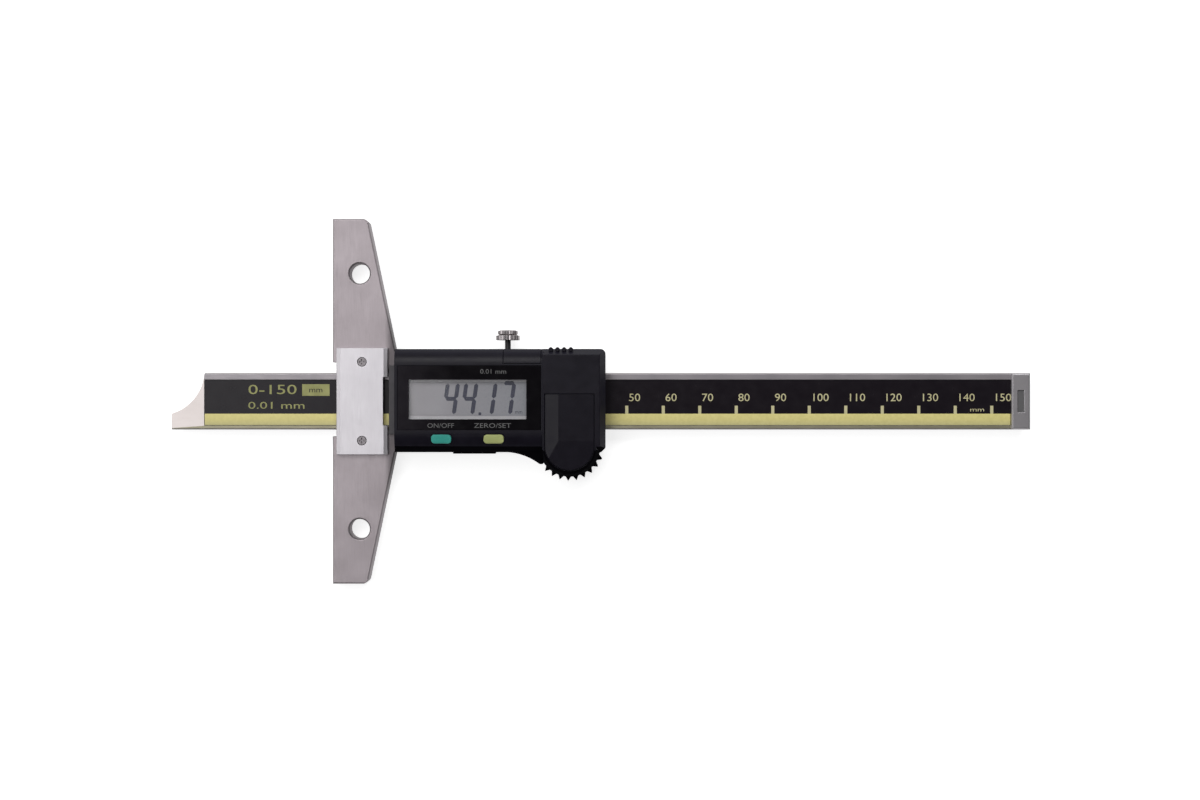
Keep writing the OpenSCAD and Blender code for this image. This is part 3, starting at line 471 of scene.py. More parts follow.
# %% Range and step beside the base
NOTE_X = -23.3 * MM
NOTE_Y = 3.1 * MM
RANGE_H = 2.6 * MM
RANGE_W = 13.2 * MM
STEP_Y = -1.2 * MM
STEP_H = 1.9 * MM
STEP_W = 15.4 * MM
PATCH_LOW = (-8.4 * MM, 1.5 * MM)
PATCH_HIGH = (-0.9 * MM, 4.7 * MM)
PATCH_MID_X = -4.65 * MM
PATCH_WORD_H = 1.5 * MM
PATCH_WORD_W = 3.6 * MM
notes = [
    words("range", "0-150", RANGE_H, (NOTE_X, NOTE_Y, ink_z), width=RANGE_W, align="LEFT"),
    words("step", "0.01 mm", STEP_H, (NOTE_X, STEP_Y, ink_z), width=STEP_W, align="LEFT"),
]
plate = ink_bar("plate", PATCH_LOW, PATCH_HIGH, ink_z)
beam_notes = join("beam_notes", notes + [plate])
install(beam_notes, "beam", "scale_print")
patch_middle = (PATCH_MID_X, NOTE_Y, ink_z + INK)
plate_words = words("plate_words", "mm", PATCH_WORD_H, patch_middle, width=PATCH_WORD_W)
install(plate_words, "beam", "scale_print")

# %% [markdown]
# ## The display
#
# A liquid crystal panel is two sheets of glass with a dark polarising film on top. The glass shows as
# a paler line above and below the film. The film is a thin slab with a border inset in its top.

# %% The polarising film
lcd_low, lcd_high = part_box("lcd_panel")
FILM_T = 0.12 * MM
FILM_BORDER = 0.1 * MM
FILM_EDGE = 0.03 * MM
GLASS_BELOW = 1.9 * MM
GLASS_ABOVE = 1.6 * MM
film_low_y = lcd_low.y + GLASS_BELOW
film_high_y = lcd_high.y - GLASS_ABOVE
pick_nothing()
film_x = (lcd_low.x + lcd_high.x) / 2
film_y = (film_low_y + film_high_y) / 2
bpy.ops.mesh.primitive_cube_add(size=1, location=(film_x, film_y, lcd_high.z + FILM_T / 2))
film = just_made("display_film")
film.scale = (lcd_high.x - lcd_low.x, film_high_y - film_low_y, FILM_T)
settle(film)
edit_faces(film, looks_up)
bpy.ops.mesh.inset(thickness=FILM_BORDER, depth=0)
leave_edit()
round_edges(film, FILM_EDGE)
install(film, "gauge_body", "lcd_grey")

# %% [markdown]
# ## The reading
#
# Each digit is made of seven bars with pointed ends. A font could write it, but no plain font has
# these bars. So one bar is modelled from a plane, whose two ends are extruded and drawn to a point,
# and every lit bar is a turned copy that leans like the rest.

# %% One bar of a digit
DIGIT_H = 8.5 * MM
DIGIT_W = 2.75 * MM
BAR_T = 1.1 * MM
BAR_GAP = 0.12 * MM
LEAN = 0.14
lcd_ink_z = lcd_high.z + FILM_T


def digit_bar():
    """A bar with pointed ends along X, its middle at zero, made from a plane."""
    length = DIGIT_H / 2 - BAR_GAP
    pick_nothing()
    bpy.ops.mesh.primitive_plane_add(size=1)
    bar = bpy.context.object
    bar.scale = (length - BAR_T, BAR_T, 1)
    enter_edit(settle(bar), "EDGE")
    for side in (1, -1):
        bpy.ops.mesh.select_all(action="DESELECT")
        mesh = bmesh.from_edit_mesh(bar.data)
        for edge in mesh.edges:
            middle = (edge.verts[0].co + edge.verts[1].co) / 2
            edge.select_set(abs(middle.y) < MERGE and side * middle.x > MERGE)
        bmesh.update_edit_mesh(bar.data)
        pull((side * BAR_T / 2, 0, 0))
        bpy.ops.mesh.merge(type="CENTER")
    thicken()
    return bar


first_bar = digit_bar()
print("one bar has", len(first_bar.data.polygons), "faces")

# %% The reading, in leaning digits
upright = DIGIT_H / 4
edge_x = DIGIT_W / 2
BARS = {
    "top": (0, 2 * upright, False),
    "middle": (0, 0, False),
    "bottom": (0, -2 * upright, False),
    "upper_left": (-edge_x, upright, True),
    "upper_right": (edge_x, upright, True),
    "lower_left": (-edge_x, -upright, True),
    "lower_right": (edge_x, -upright, True),
}
LIT = {
    "4": ("middle", "upper_left", "upper_right", "lower_right"),
    "1": ("upper_right", "lower_right"),
    "7": ("top", "upper_right", "lower_right"),
}
DIGITS_Y = 0.68 * MM
DIGIT_ENDS = (("4", 34.2 * MM), ("4", 39.2 * MM), ("1", 44.4 * MM), ("7", 49.4 * MM))
flat_share = DIGIT_W / (DIGIT_H / 2 - BAR_GAP)
digit_bars = []
for digit, right_x in DIGIT_ENDS:
    for name in LIT[digit]:
        x, y, turned = BARS[name]
        bar = copy_to(first_bar, (0, 0, 0))
        if turned:
            bar.rotation_euler = (0, 0, math.pi / 2)
        else:
            bar.scale = (flat_share, 1, 1)
        bar.location = (x, y, 0)
        settle(bar)
        bar.data.transform(Matrix.Shear("XZ", 4, (LEAN, 0)))
        digit_bars.append(bar)
        bar.location = (right_x - edge_x, DIGITS_Y, lcd_ink_z)
        settle(bar)
bpy.data.objects.remove(first_bar)
print(len(digit_bars), "bars are lit")

# %% The point and the unit of the reading
POINT_LOW = (40.3 * MM, -3.75 * MM)
POINT_HIGH = (41.05 * MM, -3.0 * MM)
READING_UNIT_X = 51.2 * MM
READING_UNIT_Y = -2.9 * MM
READING_UNIT_W = 1.9 * MM
mark_z = lcd_ink_z + INK / 2
point = ink_bar("point", POINT_LOW, POINT_HIGH, mark_z)
unit = words("unit", "mm", UNIT_H, (READING_UNIT_X, READING_UNIT_Y, mark_z), width=READING_UNIT_W)
reading = join("display_digits", digit_bars + [point, unit])
install(reading, "gauge_body", "lcd_grey")

# %% [markdown]
# ## Labels on the face sheet
#
# The glossy sheet is printed in grey beside what each label belongs to: the use of the two buttons,
# and the step of the display above it. The labels are thin ink like the other print.

# %% Labels for the buttons and the display
sheet_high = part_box("face_sheet")[1]
label_z = sheet_high.z + INK / 2
LABEL_H = 1.25 * MM
BELOW_Y = -6.6 * MM
ABOVE_Y = 8.0 * MM
labels = []
for text, x, y, width in (
    ("ON/OFF", 30.2 * MM, BELOW_Y, 7.2 * MM),
    ("ZERO/SET", 44.2 * MM, BELOW_Y, 10.0 * MM),
    ("0.01 mm", 44.4 * MM, ABOVE_Y, 7.0 * MM),
):
    labels.append(words("label", text, LABEL_H, (x, y, label_z), width=width))
face_labels = join("face_labels", labels)
install(face_labels, "gauge_body", "face_plastic")

# %% [markdown]
# ## The button cell
#
# A cell is a steel can, crimped round a seal that holds a smaller lid. It shows when its cover is off,
# where a plain disc would look false. So a cylinder is inset and extruded into the step of the lid,
# and a shallow ring is pressed into the flat of the can.

# %% The can and its crimp
cell_low, cell_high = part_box("battery")
cell_r = (cell_high.x - cell_low.x) / 2
cell_mid = (cell_low + cell_high) / 2
cell_t = cell_high.z - cell_low.z
CELL_SIDES = 96
CELL_LIP = 1.2 * MM
CELL_STEP = 0.3 * MM
RING_IN = 0.9 * MM
RING_W = 0.25 * MM
RING_DEPTH = 0.12 * MM
CELL_EDGE = 0.25 * MM
CELL_EDGE_STEPS = 3
pick_nothing()
bpy.ops.mesh.primitive_cylinder_add(
    vertices=CELL_SIDES,
    radius=cell_r,
    depth=cell_t - CELL_STEP,
    location=(cell_mid.x, cell_mid.y, cell_mid.z + CELL_STEP / 2),
)
cell = settle(just_made("button_cell"))
edit_faces(cell, looks_down)
bpy.ops.mesh.inset(thickness=CELL_LIP, depth=0)
pull((0, 0, -CELL_STEP))
leave_edit()
edit_faces(cell, looks_up)
bpy.ops.mesh.inset(thickness=RING_IN, depth=0)
bpy.ops.mesh.inset(thickness=RING_W, depth=-RING_DEPTH)
leave_edit()
round_edges(cell, CELL_EDGE, segments=CELL_EDGE_STEPS, clamp=True)
install(cell, "gauge_body", "cell_steel", "battery")

# %% [markdown]
# ## Finishes
#
# Every finish is one Principled shader. What is the same all over sits on the shader's own sockets.
# Grain, grinding marks and worn edges come from noise on Object coordinates, so they keep their real
# size on every piece. A picture wrapped round a piece would blur close by.

# %% A finish and its sockets
def new_finish(name, **constants):
    """A material whose constant values sit on the shader's own sockets."""
    finish = bpy.data.materials.new(name)
    finish.use_nodes = True
    shader = finish.node_tree.nodes["Principled BSDF"]
    for socket, value in constants.items():
        shader.inputs[socket.replace("_", " ")].default_value = value
    return finish, finish.node_tree, shader


def feed(tree, value, socket):
    """Set a socket to a number or a colour, or link what another node gives."""
    if isinstance(value, float):
        socket.default_value = value
    elif isinstance(value, tuple):
        socket.default_value = (*value, 1)
    else:
        tree.links.new(value, socket)


def worked_out(tree, operation, *values):
    """What one sum on numbers or sockets gives."""
    step = tree.nodes.new("ShaderNodeMath")
    step.operation = operation
    for socket, value in zip(step.inputs, values):
        feed(tree, value, socket)
    return step.outputs[0]


print("a finish starts from one shader")


# %% Colour, roughness and where on the piece
def surface(tree, shader, colour, rough):
    """Link a colour and a roughness to the shader."""
    tree.links.new(colour, shader.inputs["Base Color"])
    tree.links.new(rough, shader.inputs["Roughness"])


def where(tree, kind="Object"):
    """A point's place on its piece, or with another kind, its normal or its direction."""
    return tree.nodes.new("ShaderNodeTexCoord").outputs[kind]


def along_axis(tree, axis, kind="Object"):
    """One axis of that place or direction."""
    split = tree.nodes.new("ShaderNodeSeparateXYZ")
    tree.links.new(where(tree, kind), split.inputs["Vector"])
    return split.outputs[axis]


def noise(tree, per_mm, stretch=(1, 1, 1), detail=3.0):
    """Noise with so many features in a millimetre, stretched along the axes."""
    mapping = tree.nodes.new("ShaderNodeMapping")
    mapping.inputs["Scale"].default_value = stretch
    texture = tree.nodes.new("ShaderNodeTexNoise")
    texture.inputs["Scale"].default_value = per_mm / MM
    texture.inputs["Detail"].default_value = detail
    tree.links.new(where(tree), mapping.inputs["Vector"])
    tree.links.new(mapping.outputs["Vector"], texture.inputs["Vector"])
    return texture.outputs["Fac"]


print("noise is ready")

# %% Values and colours between two ends
CLOUD_LOW = 0.3
CLOUD_HIGH = 0.7
MIDWAY = 0.5


def spread(tree, source, low, high, from_low=CLOUD_LOW, from_high=CLOUD_HIGH):
    """A value between low and high."""
    remap = tree.nodes.new("ShaderNodeMapRange")
    remap.inputs["From Min"].default_value = from_low
    remap.inputs["From Max"].default_value = from_high
    remap.inputs["To Min"].default_value = low
    remap.inputs["To Max"].default_value = high
    tree.links.new(source, remap.inputs["Value"])
    return remap.outputs["Result"]


def colour_ramp(tree, source, stops):
    """Colours spread over a value from 0 to 1."""
    ramp = tree.nodes.new("ShaderNodeValToRGB")
    elements = ramp.color_ramp.elements
    while len(elements) < len(stops):
        elements.new(MIDWAY)
    for element, (place, colour) in zip(elements, stops):
        element.position = place
        element.color = (*colour, 1)
    tree.links.new(source, ramp.inputs["Fac"])
    return ramp.outputs["Color"]


def two_tone(tree, source, dark, pale):
    """The dark colour where clouds of noise are low, and the pale one where they are high."""
    return colour_ramp(tree, source, [(CLOUD_LOW, dark), (CLOUD_HIGH, pale)])


print("clouds turn from", CLOUD_LOW, "to", CLOUD_HIGH)

# %% Mixing and relief
FIRST_COLOUR = 6
SECOND_COLOUR = 7
MIXED_COLOUR = 2


def mixed(tree, share, first, second, blend="MIX"):
    """The first colour where the share is 0, and the second, or what it blends to, where it is 1."""
    mix = tree.nodes.new("ShaderNodeMix")
    mix.data_type = "RGBA"
    mix.blend_type = blend
    feed(tree, share, mix.inputs["Factor"])
    feed(tree, first, mix.inputs[FIRST_COLOUR])
    feed(tree, second, mix.inputs[SECOND_COLOUR])
    return mix.outputs[MIXED_COLOUR]


def bump(tree, shader, source, height, strength):
    """Small relief on the surface, height at most."""
    relief = tree.nodes.new("ShaderNodeBump")
    relief.inputs["Strength"].default_value = strength
    relief.inputs["Distance"].default_value = height
    tree.links.new(source, relief.inputs["Height"])
    tree.links.new(relief.outputs["Normal"], shader.inputs["Normal"])


print("colours can be mixed")

# %% Worn edges
UPRIGHT_TO = 0.1
LEANING_FROM = 0.3
LEANING_TO = 0.75
LEVEL_FROM = 0.88


def worn_edges(tree):
    """1 on edges that lean halfway between level and upright, and 0 elsewhere."""
    level = worked_out(tree, "ABSOLUTE", along_axis(tree, "Z", kind="Normal"))
    off_upright = spread(tree, level, 0.0, 1.0, from_low=UPRIGHT_TO, from_high=LEANING_FROM)
    off_level = spread(tree, level, 1.0, 0.0, from_low=LEANING_TO, from_high=LEVEL_FROM)
    return worked_out(tree, "MULTIPLY", off_upright, off_level)


print("edges that lean are worn")

# %% [markdown]
# ## Ground steel
#
# The base and the beam are ground on a wheel and chromed dull. Fine marks run along the grinding
# direction, over slow clouds of slightly lighter and darker steel, and the edges are brighter. The
# marks are noise drawn out along one axis, which costs nothing in faces.

# %% How ground steel is made
STEEL_CLOUDS_PER_MM = 0.12
MARKS_PER_MM = 9.0
MARK_DEPTH = 0.004 * MM
ALONG_Y = (1, 0.03, 1)
ALONG_X = (0.03, 1, 1)
ALL_WAYS = (1, 1, 1)


def ground_steel(name, dark, pale, edge, stretch, rough, metal=1.0):
    """Dull ground steel with marks along one direction."""
    finish, tree, shader = new_finish(name, Metallic=metal)
    cloud = noise(tree, STEEL_CLOUDS_PER_MM, detail=4.0)
    marks = noise(tree, MARKS_PER_MM, stretch, detail=2.0)
    colour = mixed(tree, worn_edges(tree), two_tone(tree, cloud, dark, pale), edge)
    surface(tree, shader, colour, spread(tree, marks, *rough))
    bump(tree, shader, marks, MARK_DEPTH, strength=0.6)
    return finish


def painted_shade_along_x(finish, pale_x, dark_x, share):
    """Paint shade into the colour: let it go to a share of itself between two places along X."""
    tree = finish.node_tree
    shader = tree.nodes["Principled BSDF"]
    colour = shader.inputs["Base Color"].links[0].from_socket
    fall = spread(tree, along_axis(tree, "X"), 1.0, share, from_low=pale_x, from_high=dark_x)
    darker = tree.nodes.new("ShaderNodeVectorMath")
    darker.operation = "SCALE"
    tree.links.new(colour, darker.inputs["Vector"])
    tree.links.new(fall, darker.inputs["Scale"])
    tree.links.new(darker.outputs["Vector"], shader.inputs["Base Color"])


print("grinding marks are", MARK_DEPTH / MM, "mm deep")

# %% Steel of the base and the plate
BASE_UNSHADED_X = 14.3 * MM
BASE_SHADED_X = 16.0 * MM
base_finish = ground_steel(
    "base_steel",
    dark=(0.294, 0.262, 0.275), pale=(0.344, 0.307, 0.324), edge=(0.42, 0.385, 0.4),
    stretch=ALONG_Y, rough=(0.36, 0.52),
)
# Painted shade: the base's colour darkens towards the housing, where the housing's wall shades it.
painted_shade_along_x(base_finish, BASE_UNSHADED_X, BASE_SHADED_X, share=0.4)
plate_finish = ground_steel(
    "plate_steel",
    dark=(0.56, 0.539, 0.567), pale=(0.61, 0.588, 0.616), edge=(0.65, 0.63, 0.65),
    stretch=ALONG_Y, rough=(0.42, 0.56),
)
print("base and plate finishes are ready")

# %% Steel of the beam
beam_finish = ground_steel(
    "beam_steel",
    dark=(0.262, 0.247, 0.262), pale=(0.322, 0.3, 0.315), edge=(0.42, 0.4, 0.4),
    stretch=ALONG_X, rough=(0.42, 0.56),
)
rim_steel_finish = ground_steel(
    "rim_steel",
    dark=(0.262, 0.243, 0.175), pale=(0.318, 0.296, 0.215), edge=(0.42, 0.4, 0.36),
    stretch=ALONG_X, rough=(0.42, 0.56),
)
tip_finish = ground_steel(
    "tip_steel",
    dark=(0.75, 0.68, 0.66), pale=(0.8, 0.73, 0.71), edge=(0.82, 0.78, 0.76),
    stretch=ALONG_X, rough=(0.4, 0.55), metal=0.25,
)
print("beam finishes are ready")

# %% Steel of the end stop and the screws
stop_finish = ground_steel(
    "stop_steel",
    dark=(0.45, 0.43, 0.45), pale=(0.53, 0.51, 0.53), edge=(0.56, 0.54, 0.56),
    stretch=ALL_WAYS, rough=(0.3, 0.42),
)
# Painted shade: a dark steel for the end stop's recess and its outer end, which lie in shade.
stop_shade_finish = ground_steel(
    "stop_painted_shade",
    dark=(0.16, 0.158, 0.162), pale=(0.19, 0.188, 0.192), edge=(0.2, 0.198, 0.202),
    stretch=ALL_WAYS, rough=(0.4, 0.55),
)
screw_finish = ground_steel(
    "screw_steel",
    dark=(0.187, 0.171, 0.182), pale=(0.25, 0.232, 0.243), edge=(0.35, 0.33, 0.34),
    stretch=ALL_WAYS, rough=(0.3, 0.45),
)
clamp_finish = ground_steel(
    "clamp_steel",
    dark=(0.32, 0.29, 0.3), pale=(0.4, 0.37, 0.375), edge=(0.45, 0.42, 0.42),
    stretch=ALL_WAYS, rough=(0.2, 0.32),
)
shank_finish = ground_steel(
    "blackened_steel",
    dark=(0.006, 0.006, 0.007), pale=(0.01, 0.01, 0.011), edge=(0.03, 0.03, 0.03),
    stretch=ALL_WAYS, rough=(0.4, 0.55), metal=0.0,
)
print("end stop and screw finishes are ready")

# %% The cell, the contacts and the brass
cell_finish = ground_steel(
    "cell_steel",
    dark=(0.56, 0.56, 0.55), pale=(0.64, 0.64, 0.62), edge=(0.75, 0.75, 0.74),
    stretch=ALONG_X, rough=(0.18, 0.3),
)
contact_finish = ground_steel(
    "contact_metal",
    dark=(0.62, 0.56, 0.4), pale=(0.7, 0.63, 0.46), edge=(0.8, 0.74, 0.56),
    stretch=ALL_WAYS, rough=(0.2, 0.32),
)
brass_finish = ground_steel(
    "brass",
    dark=(0.56, 0.4, 0.17), pale=(0.65, 0.47, 0.22), edge=(0.76, 0.6, 0.33),
    stretch=ALONG_X, rough=(0.24, 0.4),
)
print("cell, contact and brass finishes are ready")

# %% [markdown]
# ## Moulded and printed plastic
#
# The housing is black plastic with a fine spark-eroded grain, a little polished along its edges. The
# face sheet over the display is glossy, with faint smears that only show in its reflection. Both are
# one recipe with other numbers, since a grain, a slow cloud and a worn edge make up every moulding.

# %% How moulded plastic is made
PLASTIC_CLOUDS_PER_MM = 0.35


def moulded(name, dark, pale, edge, rough, grain=5.0, height=0.012 * MM, specular=0.25):
    """Moulded plastic with a fine grain and slightly polished edges."""
    finish, tree, shader = new_finish(name, Specular_IOR_Level=specular)
    cloud = noise(tree, PLASTIC_CLOUDS_PER_MM, detail=5.0)
    fine = noise(tree, grain, detail=2.0)
    colour = mixed(tree, worn_edges(tree), two_tone(tree, cloud, dark, pale), edge)
    surface(tree, shader, colour, spread(tree, cloud, *rough))
    bump(tree, shader, fine, height, strength=0.5)
    return finish


print("moulded plastic can be made")

# %% Black plastic of the housing
housing_finish = moulded(
    "housing_plastic",
    dark=(0.0054, 0.0044, 0.0085), pale=(0.007, 0.0058, 0.0112), edge=(0.01, 0.009, 0.016),
    rough=(0.3, 0.42), specular=0.17,
)
lid_finish = moulded(
    "lid_plastic",
    dark=(0.0054, 0.0044, 0.0082), pale=(0.0066, 0.0054, 0.0102), edge=(0.009, 0.008, 0.013),
    rough=(0.28, 0.38), specular=0.14,
)
lip_finish = moulded(
    "lip_plastic",
    dark=(0.06, 0.056, 0.062), pale=(0.076, 0.071, 0.079), edge=(0.09, 0.09, 0.09),
    rough=(0.35, 0.5),
)
# Painted shade: a near-black, rough plastic with almost no mirror, for the steep and low faces round
# the thumb rest and below the display, which lie in shade.
shaded_rim_finish = moulded(
    "rim_painted_shade",
    dark=(0.0008, 0.0006, 0.0012), pale=(0.0012, 0.0009, 0.0018), edge=(0.002, 0.0018, 0.003),
    rough=(0.75, 0.9), specular=0.03,
)
print("housing finishes are ready")

# %% The face sheet and the buttons
SHEET_LIT_X = 19.0 * MM
SHEET_DIM_X = 34.0 * MM
face_finish = moulded(
    "face_plastic",
    dark=(0.0102, 0.0084, 0.0116), pale=(0.0125, 0.0105, 0.0142), edge=(0.014, 0.012, 0.016),
    rough=(0.1, 0.2), grain=0.8, height=0.001 * MM, specular=0.07,
)
# Painted reflection: the sheet is paler at its left end, where it mirrors the light from the left, and
# darker towards the right.
painted_shade_along_x(face_finish, SHEET_LIT_X, SHEET_DIM_X, share=0.3)
green_finish = moulded(
    "button_green",
    dark=(0.038, 0.32, 0.265), pale=(0.055, 0.38, 0.315), edge=(0.1, 0.46, 0.39),
    rough=(0.35, 0.5), specular=0.3,
)
yellow_finish = moulded(
    "button_yellow",
    dark=(0.39, 0.43, 0.17), pale=(0.46, 0.5, 0.2), edge=(0.54, 0.58, 0.27),
    rough=(0.35, 0.5), specular=0.3,
)
print("face and button finishes are ready")

# %% Plastic and rubber inside
white_finish = moulded(
    "white_plastic",
    dark=(0.62, 0.62, 0.6), pale=(0.68, 0.68, 0.66), edge=(0.72, 0.72, 0.7),
    rough=(0.4, 0.55), specular=0.4,
)
rubber_finish = moulded(
    "connector_rubber",
    dark=(0.03, 0.03, 0.032), pale=(0.2, 0.2, 0.2), edge=(0.12, 0.12, 0.12),
    rough=(0.6, 0.8), grain=12.0,
)
chip_finish = moulded(
    "chip_black",
    dark=(0.012, 0.012, 0.013), pale=(0.02, 0.02, 0.021), edge=(0.035, 0.035, 0.035),
    rough=(0.5, 0.65), grain=14.0,
)
lcd_finish = moulded(
    "lcd_grey",
    dark=(0.5, 0.49, 0.51), pale=(0.54, 0.53, 0.55), edge=(0.56, 0.55, 0.57),
    rough=(0.25, 0.35), grain=9.0, height=0.002 * MM, specular=0.3,
)
print("finishes for the inside are ready")

# %% Inks and the printed cover
digit_finish = moulded(
    "lcd_ink",
    dark=(0.028, 0.03, 0.055), pale=(0.045, 0.047, 0.08), edge=(0.05, 0.052, 0.085),
    rough=(0.4, 0.5), specular=0.1,
)
label_finish = moulded(
    "label_ink",
    dark=(0.1, 0.1, 0.1), pale=(0.14, 0.14, 0.14), edge=(0.15, 0.15, 0.15),
    rough=(0.5, 0.6), grain=20.0,
)
scale_finish = moulded(
    "scale_black",
    dark=(0.008, 0.0057, 0.0086), pale=(0.0102, 0.0076, 0.0108), edge=(0.013, 0.01, 0.013),
    rough=(0.18, 0.28), grain=6.0, height=0.003 * MM, specular=0.17,
)
number_finish = moulded(
    "number_ink",
    dark=(0.5, 0.46, 0.26), pale=(0.6, 0.56, 0.33), edge=(0.62, 0.58, 0.35),
    rough=(0.45, 0.6), grain=20.0,
)
note_finish = moulded(
    "note_ink",
    dark=(0.26, 0.26, 0.1), pale=(0.36, 0.36, 0.15), edge=(0.4, 0.4, 0.2),
    rough=(0.45, 0.6), grain=20.0,
)
print("ink finishes are ready")

# %% [markdown]
# ## The film and the yellow band
#
# A polarising film is grey all over. Light from the left is painted into its colour: paler at the left
# end of this display, with painted shade towards the right. The ink of the yellow band is darker
# towards the beam's lower edge. Each could be painted by hand; a ramp over the place on the piece is
# simpler and moves along with it.

# %% The polarising film
FILM_LIT_LEFT = (0.328, 0.313, 0.334)
FILM_SHADED_RIGHT = (0.262, 0.268, 0.296)
film_finish, tree, shader = new_finish("lcd_film", Specular_IOR_Level=0.3)
along = spread(tree, along_axis(tree, "X"), 0.0, 1.0, from_low=lcd_low.x, from_high=lcd_high.x)
# Painted light and shade: the film is paler at its left end, towards the light, and darker to the
# right.
tint = colour_ramp(tree, along, [(0.0, FILM_LIT_LEFT), (1.0, FILM_SHADED_RIGHT)])
haze = noise(tree, per_mm=1.5, detail=4.0)
surface(tree, shader, tint, spread(tree, haze, low=0.25, high=0.35))
print("film finish is ready")

# %% The yellow band
BAND_AT_LOWER_EDGE = (0.54, 0.5, 0.24)
BAND_MIDDLE = (0.69, 0.62, 0.25)
BAND_AT_UPPER_EDGE = (0.77, 0.69, 0.275)
MIDDLE_PLACE = 0.45
FADED = (0.92, 0.92, 0.9)
UNFADED = (1.0, 1.0, 1.0)
FADED_TO = 0.35
UNFADED_FROM = 0.65
band_finish, tree, shader = new_finish("band_ink", Specular_IOR_Level=0.3)
across = spread(tree, along_axis(tree, "Y"), 0.0, 1.0, from_low=scale_low.y, from_high=BAND_TOP)
# The yellow is darker towards the beam's lower edge.
shade = colour_ramp(tree, across, [(0.0, BAND_AT_LOWER_EDGE), (MIDDLE_PLACE, BAND_MIDDLE), (1.0, BAND_AT_UPPER_EDGE)])
speckle = noise(tree, per_mm=1.2, detail=5.0)
fade = colour_ramp(tree, speckle, [(FADED_TO, FADED), (UNFADED_FROM, UNFADED)])
yellow = mixed(tree, 1.0, shade, fade, blend="MULTIPLY")
surface(tree, shader, yellow, spread(tree, speckle, low=0.35, high=0.5))
print("band finish is ready")

# %% [markdown]
# ## The board and the window
#
# A circuit board is green lacquer over copper tracks. Tracks could be drawn one by one, but it only
# shows through openings, so the borders of a pattern of square cells stand for them. The window is
# clear plastic: nearly see-through, with a faint mirror on top that is a little uneven.

# %% The circuit board
TRACKS_PER_MM = 0.45
TRACK_INNER = 0.62
TRACK_OUTER = 0.66
TRACK_DEPTH = 0.03 * MM
LACQUER_DARK = (0.012, 0.075, 0.03)
LACQUER_PALE = (0.018, 0.1, 0.042)
OVER_COPPER = (0.05, 0.2, 0.08)
board_finish, tree, shader = new_finish("board_green", Specular_IOR_Level=0.4)
tracks = tree.nodes.new("ShaderNodeTexVoronoi")
tracks.distance = "MANHATTAN"
tracks.feature = "F2"
tracks.inputs["Scale"].default_value = TRACKS_PER_MM / MM
tree.links.new(where(tree), tracks.inputs["Vector"])
copper = spread(tree, tracks.outputs["Distance"], 0.0, 1.0, from_low=TRACK_INNER, from_high=TRACK_OUTER)
lacquer = two_tone(tree, noise(tree, per_mm=0.4), LACQUER_DARK, LACQUER_PALE)
gloss = spread(tree, copper, low=0.3, high=0.42, from_low=0.0, from_high=1.0)
surface(tree, shader, mixed(tree, copper, lacquer, OVER_COPPER), gloss)
bump(tree, shader, copper, TRACK_DEPTH, strength=0.6)
print("board finish is ready")

# %% The clear window
WINDOW_TINT = (0.9, 0.9, 0.92, 1)
window_finish, tree, shader = new_finish(
    "window_clear", Metallic=1.0, Alpha=0.07, Base_Color=WINDOW_TINT
)
waves = noise(tree, per_mm=0.15, detail=5.0)
tree.links.new(spread(tree, waves, low=0.05, high=0.14), shader.inputs["Roughness"])
print("window finish is ready")

# %% [markdown]
# ## Giving each piece its finish
#
# Most pieces of the real gauge have one colour all over, because each is made of one stuff. They take
# their finish in their only slot.

# %% One finish to a piece
def paint(piece, *finishes):
    """Give a piece its finishes, the first one all over."""
    piece.data.materials.clear()
    for finish in finishes:
        piece.data.materials.append(finish)
    for face in piece.data.polygons:
        face.material_index = 0


for name in ("front_plate_screws", "stop_cap_screws", "rear_screws", "rest_screws"):
    paint(steel[name], screw_finish)
for piece, finish in (
    (steel["ground_base"], base_finish),
    (steel["front_plate"], plate_finish),
    (plastic["battery_lid"], lid_finish),
    (plastic["port_plug"], housing_finish),
    (plastic["rest_cover"], housing_finish),
    (plastic["glossy_face"], face_finish),
    (plastic["green_button"], green_finish),
    (plastic["yellow_button"], yellow_finish),
    (scale_numbers, number_finish),
    (beam_notes, note_finish),
    (plate_words, scale_finish),
    (film, film_finish),
    (reading, digit_finish),
    (face_labels, label_finish),
    (cell, cell_finish),
):
    paint(piece, finish)
print("single finishes are given")

# %% [markdown]
# ## Pieces with more than one finish
#
# The beam has a bright ground tip and a warmer lower rim, the clamp screw a blackened shank, and the
# end stop painted shade in its recess and on its outer end. The housing is greyer on its lip by the
# base, and painted shade darkens its rim round the thumb rest and its steep low faces below the
# display.
# They could be cut apart there, but each is one piece on the real gauge. So their faces are selected
# by place and given another slot.

# %% Another slot for some faces
def paint_faces(piece, wanted, index):
    """Give one slot to the faces whose middle and normal pass the test."""
    chosen = edit_faces(piece, wanted)
    piece.active_material_index = index
    bpy.ops.object.material_slot_assign()
    leave_edit()
    print(piece.name, chosen, "faces in slot", index)


print("single faces can be painted")

# %% The beam and the clamp screw
SHOULDER_BEFORE = 0.15 * MM
LEVEL = 0.9
KNURLED_HEAD_L = 2.62 * MM
beam = steel["ground_beam"]
shoulder_x = scale_low.x - SHOULDER_BEFORE
neck_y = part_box("clamp_screw")[1].y - KNURLED_HEAD_L


def on_lower_rim(middle, normal):
    """True on the beam's top below the printed scale."""
    return middle.x > shoulder_x and middle.y < scale_low.y and normal.z > LEVEL


paint(beam, beam_finish, tip_finish, rim_steel_finish)
paint_faces(beam, lambda middle, normal: middle.x < shoulder_x, index=1)
paint_faces(beam, on_lower_rim, index=2)
paint(steel["knurled_screw"], clamp_finish, shank_finish)
paint_faces(steel["knurled_screw"], lambda middle, normal: middle.y < neck_y, index=1)

